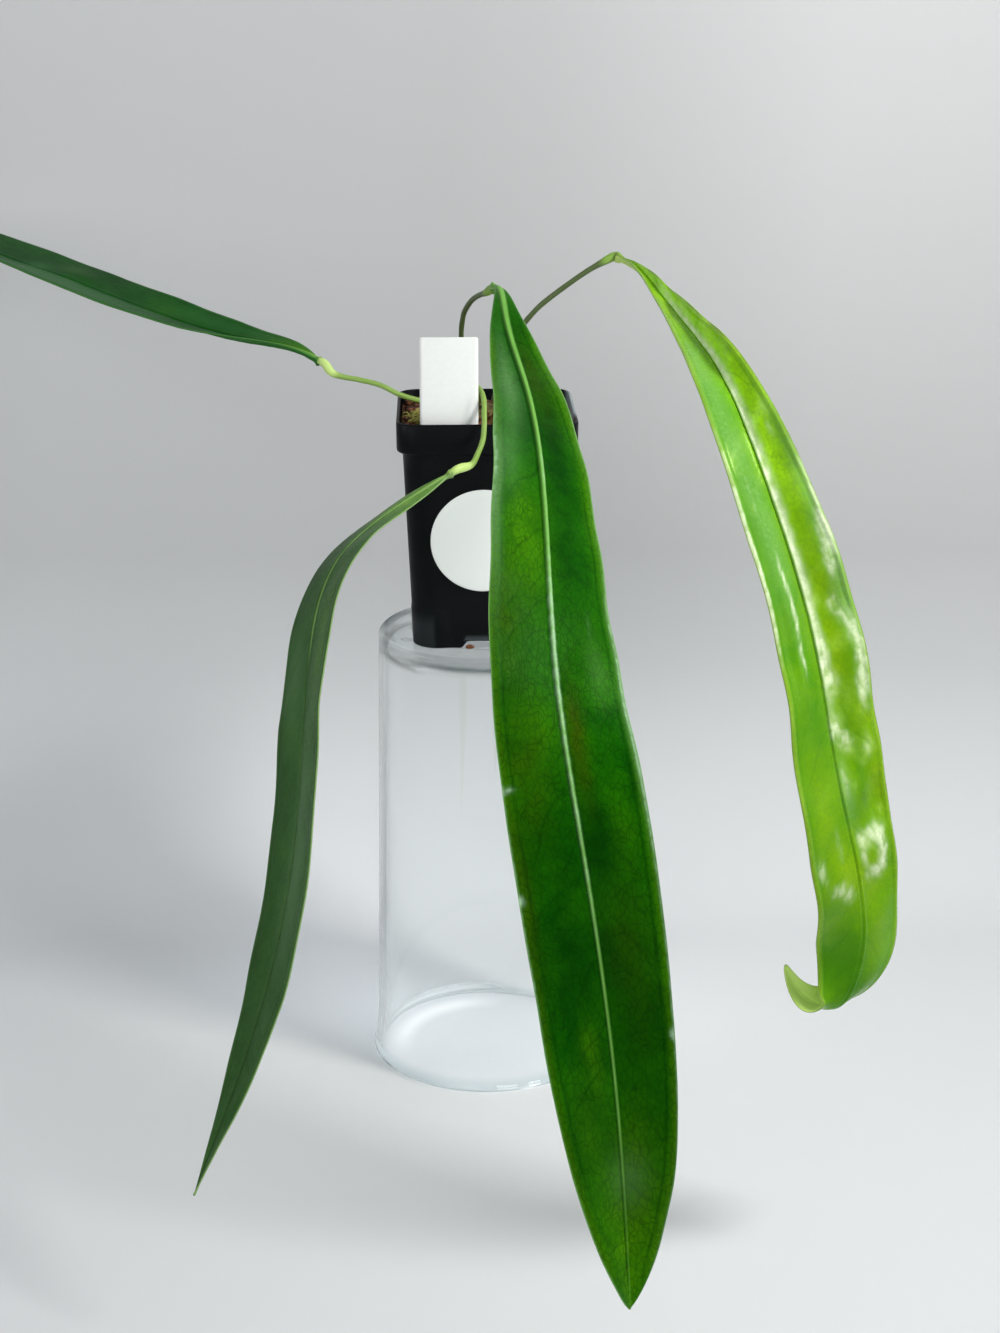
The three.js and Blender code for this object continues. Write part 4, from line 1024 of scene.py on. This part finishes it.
def plant_tag():
    """White plastic strip over its width and height: small round corners above, a blunt point below, a
    slight curl, and a crease near the right edge at the level of the rim, with painted shade in it."""
    low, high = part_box("plant_tag")
    foot, tall = low.z / MM, (high.z - low.z) / MM
    width, thick, corner, lean = 20.6, 0.6, 0.9, math.radians(3.2)
    last = tall - np.array([0.75, 0.5, 0.25, 0.08, 0])
    h = np.concatenate([[0], np.linspace(0.3, 7, 8), np.linspace(9, tall - 1, 40), last])[:, None]
    narrow = np.interp(h, [0, 7], [6.3, width / 2])
    narrow = narrow - corner * (1 - np.sqrt(1 - (1 - np.clip((tall - h) / corner, 0, 1)) ** 2))
    across = np.concatenate([np.linspace(-1, 1, 25), np.linspace(1, -1, 25)])
    face = np.repeat([-1, 1], 25)
    x = narrow * across
    curl = 0.25 * (x / 10) ** 2 + 0.35 * np.sin(h / 38)
    crease = hump(x, 6.5 + 0.22 * (h - 34), 1.3) * ease(26, 33, h) * (1 - ease(38, 46, h))
    y = face * thick / 2 * np.sqrt(1 - 0.55 * np.abs(across) ** 60) + curl - 0.35 * crease
    out_y = TAG_SPOT[1] + (SOIL_TOP - foot) * math.tan(lean) + y * math.cos(lean) - h * math.sin(lean)
    points = xyz(TAG_SPOT[0] + x, out_y, foot + h * math.cos(lean))
    plastic = paper_finish("tag_plastic", (252, 253, 252), (206, 210, 211), 0.42)
    piece = skins("plant_tag_strip", points[None], plastic, "tag_plastic", {"crease": 0.35 * crease[None]})
    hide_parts("plant_tag")


# What is in the pot

def soil_height(x, y):
    """Height of the bark's surface: the slow waves of the solid, with finer lumps on them."""
    slow = np.sin(x * 0.31 + 1) * np.cos(y * 0.27) + 0.6 * np.sin(x * 0.72 - y * 0.58)
    return SOIL_TOP + 0.9 * slow + 0.5 * waves(x, y, 5, 21)


def substrate():
    """Bark mix: square rings up the inside of the pot, then inwards over the lumpy surface."""
    clear, floor, ledge = 1.5, POT_BASE + 4.7, COLLAR_BASE + 1.5
    half = [8, body_half(floor) - clear - 0.1, body_half(COLLAR_BASE) - clear, POT_RIM / 2 - clear - 0.3]
    share = np.linspace(1, 0.02, 44)
    top = square_round(half[-1] * share, 7 * share, 0 * share)
    top[..., 2] = soil_height(top[..., 0], top[..., 1])
    rings = np.concatenate([square_round(half, [4, 8, 6, 7], [floor, floor, ledge, ledge]), top])[None]
    tone = 0.25 + 0.2 * waves(rings[..., 0], rings[..., 1], 4, 31)
    piece = skins("bark_mix", rings, BARK, "bark", {"tone": tone})
    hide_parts("substrate")


def turned(vectors, random, tilt):
    """The vectors of each block turned by a random heading and a random tilt up to that angle."""
    blocks = len(vectors)
    heading = random.uniform(0, 2 * np.pi, blocks)[:, None, None]
    tip = random.uniform(-tilt, tilt, blocks)[:, None, None]
    x, y, z = np.moveaxis(vectors, -1, 0)
    x, z = x * np.cos(tip) - z * np.sin(tip), x * np.sin(tip) + z * np.cos(tip)
    x, y = x * np.cos(heading) - y * np.sin(heading), x * np.sin(heading) + y * np.cos(heading)
    return xyz(x, y, z)


def bark_chips():
    """Loose chips on the bark: squared-off pebbles whose corners are random, strewn inside the rim and
    clear of the crown and the tag."""
    random = np.random.default_rng(14)
    reach, limit = 28.5, POT_RIM / 2 - 2.2
    x, y = random.uniform(-reach, reach, (900, 2)).T
    clear = (np.abs(x - TAG_SPOT[0]) > 12.5) | (np.abs(y - TAG_SPOT[1]) > 2.6)
    x, y = np.stack([x, y])[:, clear & (np.hypot(x, y) > 12)][:, :330]
    count = len(x)
    size = random.uniform([1.1, 0.8, 0.5], [3.6, 2.2, 1.1], (count, 3))[:, None, None]
    level = np.linspace(-0.92, 0.92, 6)[None, :, None]
    turn = turns(10)[None, None]
    square = (np.abs(np.cos(turn)) ** 4 + np.abs(np.sin(turn)) ** 4) ** -0.25
    ring = (1 - np.abs(level) ** 5) ** 0.35 * square
    ring = ring * (1 + 0.16 * random.standard_normal((count, 6, 10)))
    pebble = xyz(ring * np.cos(turn), ring * np.sin(turn), level) * size
    points = turned(pebble, random, 0.5) + xyz(x, y, soil_height(x, y) + 0.35)[:, None, None]
    points[..., :2] = np.clip(points[..., :2], -limit, limit)
    tone = random.uniform(0, 1, count)[:, None, None] + 0 * ring
    skins("bark_chips", points, BARK, "bark", {"tone": tone})


def moss_tuft():
    """Moss over a low heap between the crown and the left rim: curled strands that lean out along random
    headings, rise and fall, and wander sideways. Their radius swells and shrinks like leaves in a row."""
    spread = np.random.default_rng(9).normal(0, 1, (330, 2)) * [2.9, 4.0]
    x, y = spread[(np.abs(spread[:, 0]) < 6) & (np.abs(spread[:, 1]) < 8.6)][:260].T
    heap = 2.6 * np.exp(-((x / 5) ** 2 + (y / 7) ** 2))
    x, y = x - 21.5, y - 13
    feet = xyz(x, y, soil_height(x, y) + 0.4 + heap)
    random = np.random.default_rng(17)
    one_each = (len(feet), 1)
    s = np.linspace(0, 1, 8)[None, :]
    heading = random.uniform(0, 2 * np.pi, one_each)
    length = random.uniform(2.2, 4.6, one_each)
    rise = random.uniform(0.6, 2.2, one_each)
    wander = random.uniform(-0.5, 0.5, one_each) * length * np.sin(np.pi * s)
    x = length * s * np.cos(heading) - wander * np.sin(heading)
    y = length * s * np.sin(heading) + wander * np.cos(heading)
    z = rise * np.sin(np.pi * 0.8 * s) + random.uniform(-0.4, 0.6, one_each) * s
    radius = 0.32 * (1 - 0.55 * s**2) * (1 + 0.35 * np.sin(s * 19 + heading))
    lines = xyz(x, y, z) + feet[:, None]
    rings = tubes(lines, radius[..., None] * np.ones(6), 6, (0.13, 0.21, 0.97))
    limit = POT_RIM / 2 - 1.6
    rings[..., :2] = np.clip(rings[..., :2], -limit, limit)
    full = np.ones(rings.shape[:3])
    tone = 0.7 * random.uniform(0, 1, one_each)[..., None] ** 2 * full
    piece = skins("moss_tuft", rings, moss_finish(), "moss", {"tone": tone, "tip": s[..., None] * full})
    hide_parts("moss")


def crown_stem():
    """Short thick stem over its height and the turn round it, ringed by old leaf scars."""
    heights = np.linspace(226, 257, 40)
    round_off = np.sqrt(np.clip(1 - ((heights - 253) / 4.2).clip(0, 1) ** 2, 0.03, 1))
    radius = 8.6 * round_off * np.interp(heights, [226, 231], [0.6, 1])
    rings = lathe(np.stack([radius, heights], -1), 48)
    turn = np.arctan2(rings[..., 1], rings[..., 0])
    z = rings[..., 2]
    swell = 1 + 0.05 * np.sin(z * 1.9 + 2 * np.cos(turn)) + 0.05 * waves(turn * 6, z, 9, 41)
    rings[..., :2] *= swell[..., None]
    skin = woody_finish("crown_skin", (500, 500, 1400), 4, (70, 62, 34), (122, 108, 60), 0.8, 0.8)
    piece = skins("crown_stem", rings, skin, "crown")
    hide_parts("crown")


def dry_sheaths():
    """Papery strips round the crown: flat narrow blades that lean out, curl and end in a point."""
    random = np.random.default_rng(27)
    one_each = (26, 1)
    s = np.linspace(0, 1, 12)[None, :]
    heading = random.uniform(0, 2 * np.pi, one_each)
    tall = random.uniform(4, 12, one_each)
    lean = random.uniform(0.1, 0.7, one_each)
    out = 8.4 + lean * tall * s**1.6
    height = 250.5 + tall * (s - 0.25 * lean * s**3)
    lines = xyz(out * np.cos(heading), out * np.sin(heading), height)
    turn = turns(10)
    width = (random.uniform(0.7, 1.8, one_each) * (1 - s**2.5) + 0.08)[..., None]
    along = unit(np.gradient(lines, axis=1))
    side = xyz(-np.sin(heading), np.cos(heading), 0) + 0 * along
    flat = unit(np.cross(along, side))
    wide = side[:, :, None] * (width * np.cos(turn))[..., None]
    thin = flat[:, :, None] * (0.16 * np.sin(turn) + 0.3 * np.cos(turn) ** 2 * width)[..., None]
    skin = woody_finish("dry_sheath", (1600, 1600, 120), 3, (96, 66, 36), (168, 130, 84), 0.75, 0)
    skins("dry_sheaths", lines[:, :, None] + wide + thin, skin, "crown")


def foot_crumb():
    """A crumb of bark in the arch of the pot's foot, on the glass."""
    level = np.linspace(-0.9, 0.9, 7)[None, :, None]
    turn = turns(12)[None, None]
    ring = np.sqrt(1 - level**2) * (1 + 0.15 * np.random.default_rng(33).standard_normal((1, 7, 12)))
    points = xyz(1.5 * ring * np.cos(turn), 0.9 * ring * np.sin(turn), 0.85 * level)
    points = points + [-6.6, -27, GLASS_TOP + 0.8]
    skins("bark_crumb", points, BARK, "bark", {"tone": 0.75 + 0 * ring})


# Stage

def sheet_of_paper(name, half_width, y, z, finish):
    """A one-sided sheet whose section (y, z) runs from left to right, its face towards the plant."""
    count = len(y)
    points = xyz(np.repeat([-half_width, half_width], count), np.tile(y, 2), np.tile(z, 2))
    k = np.arange(count - 1)
    quads = np.stack([k, count + k, count + k + 1, k + 1], -1)
    thing, _ = add_mesh(name, points, quads, np.zeros((0, 3), int), finish)


def stage():
    """Floor all round, and a sweep of paper that leaves it behind the plant and turns up into a wall."""
    paper = sweep_finish()
    front, start, radius, height, half_width, reach = -300, 92, 95, 1500, 2200, 4200
    bend = np.radians(np.linspace(0, 90, 40))
    y = np.concatenate([np.linspace(front, start, 8)[:-1], start + radius * np.sin(bend), [start + radius]])
    z = np.concatenate([np.zeros(7), radius * (1 - np.cos(bend)), [height]])
    sheet_of_paper("paper_sweep", half_width, y, z, paper)
    sheet_of_paper("floor", reach, [-reach, reach], [-0.25, -0.25], paper)


def lamp(name, spot, target, size, watts, colour, gloss_only=False):
    """A rectangular soft light at a spot, facing a target. One that is for gloss only shows in shiny
    surfaces and lights nothing else."""
    light = bpy.data.lights.new(name, "AREA")
    light.shape = "RECTANGLE"
    light.size, light.size_y = size[0] * MM, size[1] * MM
    light.energy = watts
    light.color = colour
    thing = add_object(name, light)
    thing.location = place(spot)
    aim = place(target) - place(spot)
    thing.rotation_euler = Vector(aim).to_track_quat("-Z", "Y").to_euler()
    thing.visible_camera = False
    thing.visible_diffuse = not gloss_only
    thing.visible_transmission = False
    return thing


def lights():
    """A small lamp close above on the right in front, a tall window further right, a wide soft light from
    the front, an even sky, and three bright panels that only show in glossy surfaces. The small lamp and
    the front one throw no shadow of the front leaf."""
    key = lamp("key", (330, -258, 600), (20, -60, 100), (120, 120), 2.4, (1, 0.985, 0.96))
    lamp("window", (1500, -500, 420), (60, -60, 170), (700, 1000), 3.5, (0.97, 0.985, 1))
    front = lamp("front", (-700, -1400, 700), (-60, 0, 150), (1200, 900), 6.1, (1, 1, 1))
    lamp("gloss_left", (-850, -310, 600), (80, -148, 270), (350, 350), 2.3, (0.95, 0.98, 1), True)
    lamp("gloss_front", (363, -1127, 110), (105, -165, 175), (420, 360), 3, (1, 1, 0.97), True)
    lamp("gloss_low", (765, -784, 60), (110, -160, 130), (260, 120), 1.4, (1, 1, 0.97), True)
    unshaded = bpy.data.collections.new("lets_the_key_light_pass")
    unshaded.objects.link(bpy.data.objects["leaf_blade_front"])
    unshaded.collection_objects[0].light_linking.link_state = "EXCLUDE"
    for thing in (key, front):
        thing.light_linking.blocker_collection = unshaded
    world = bpy.data.worlds.new("sky")
    world.use_nodes = True
    background = world.node_tree.nodes["Background"]
    background.inputs["Color"].default_value = (0.93, 0.965, 1, 1)
    background.inputs["Strength"].default_value = 0.37
    bpy.context.scene.world = world


def camera():
    """The camera where the photograph was taken from, tilted down and turned to the right in degrees."""
    down, turn = 18.14, 1.53
    data = bpy.data.cameras.new("camera")
    data.lens, data.sensor_width = 63.29, 36
    data.clip_start, data.clip_end = 0.05, 30
    thing = add_object("camera", data)
    thing.location = place((-17.3, -841.55, 432.07))
    thing.rotation_euler = (math.radians(90 - down), 0, math.radians(-turn))
    bpy.context.scene.camera = thing
    bpy.context.scene.view_settings.view_transform = "Standard"


BARK = bark_finish()

camera()
stage()
for build in (glass_stand, nursery_pot, pot_label, plant_tag, substrate, bark_chips, moss_tuft, crown_stem,
              dry_sheaths, foot_crumb):
    build()
for leaf_name, leaf_shape in LEAVES.items():
    stalk(leaf_name, leaf_shape)
    blade(leaf_name, leaf_shape)
lights()
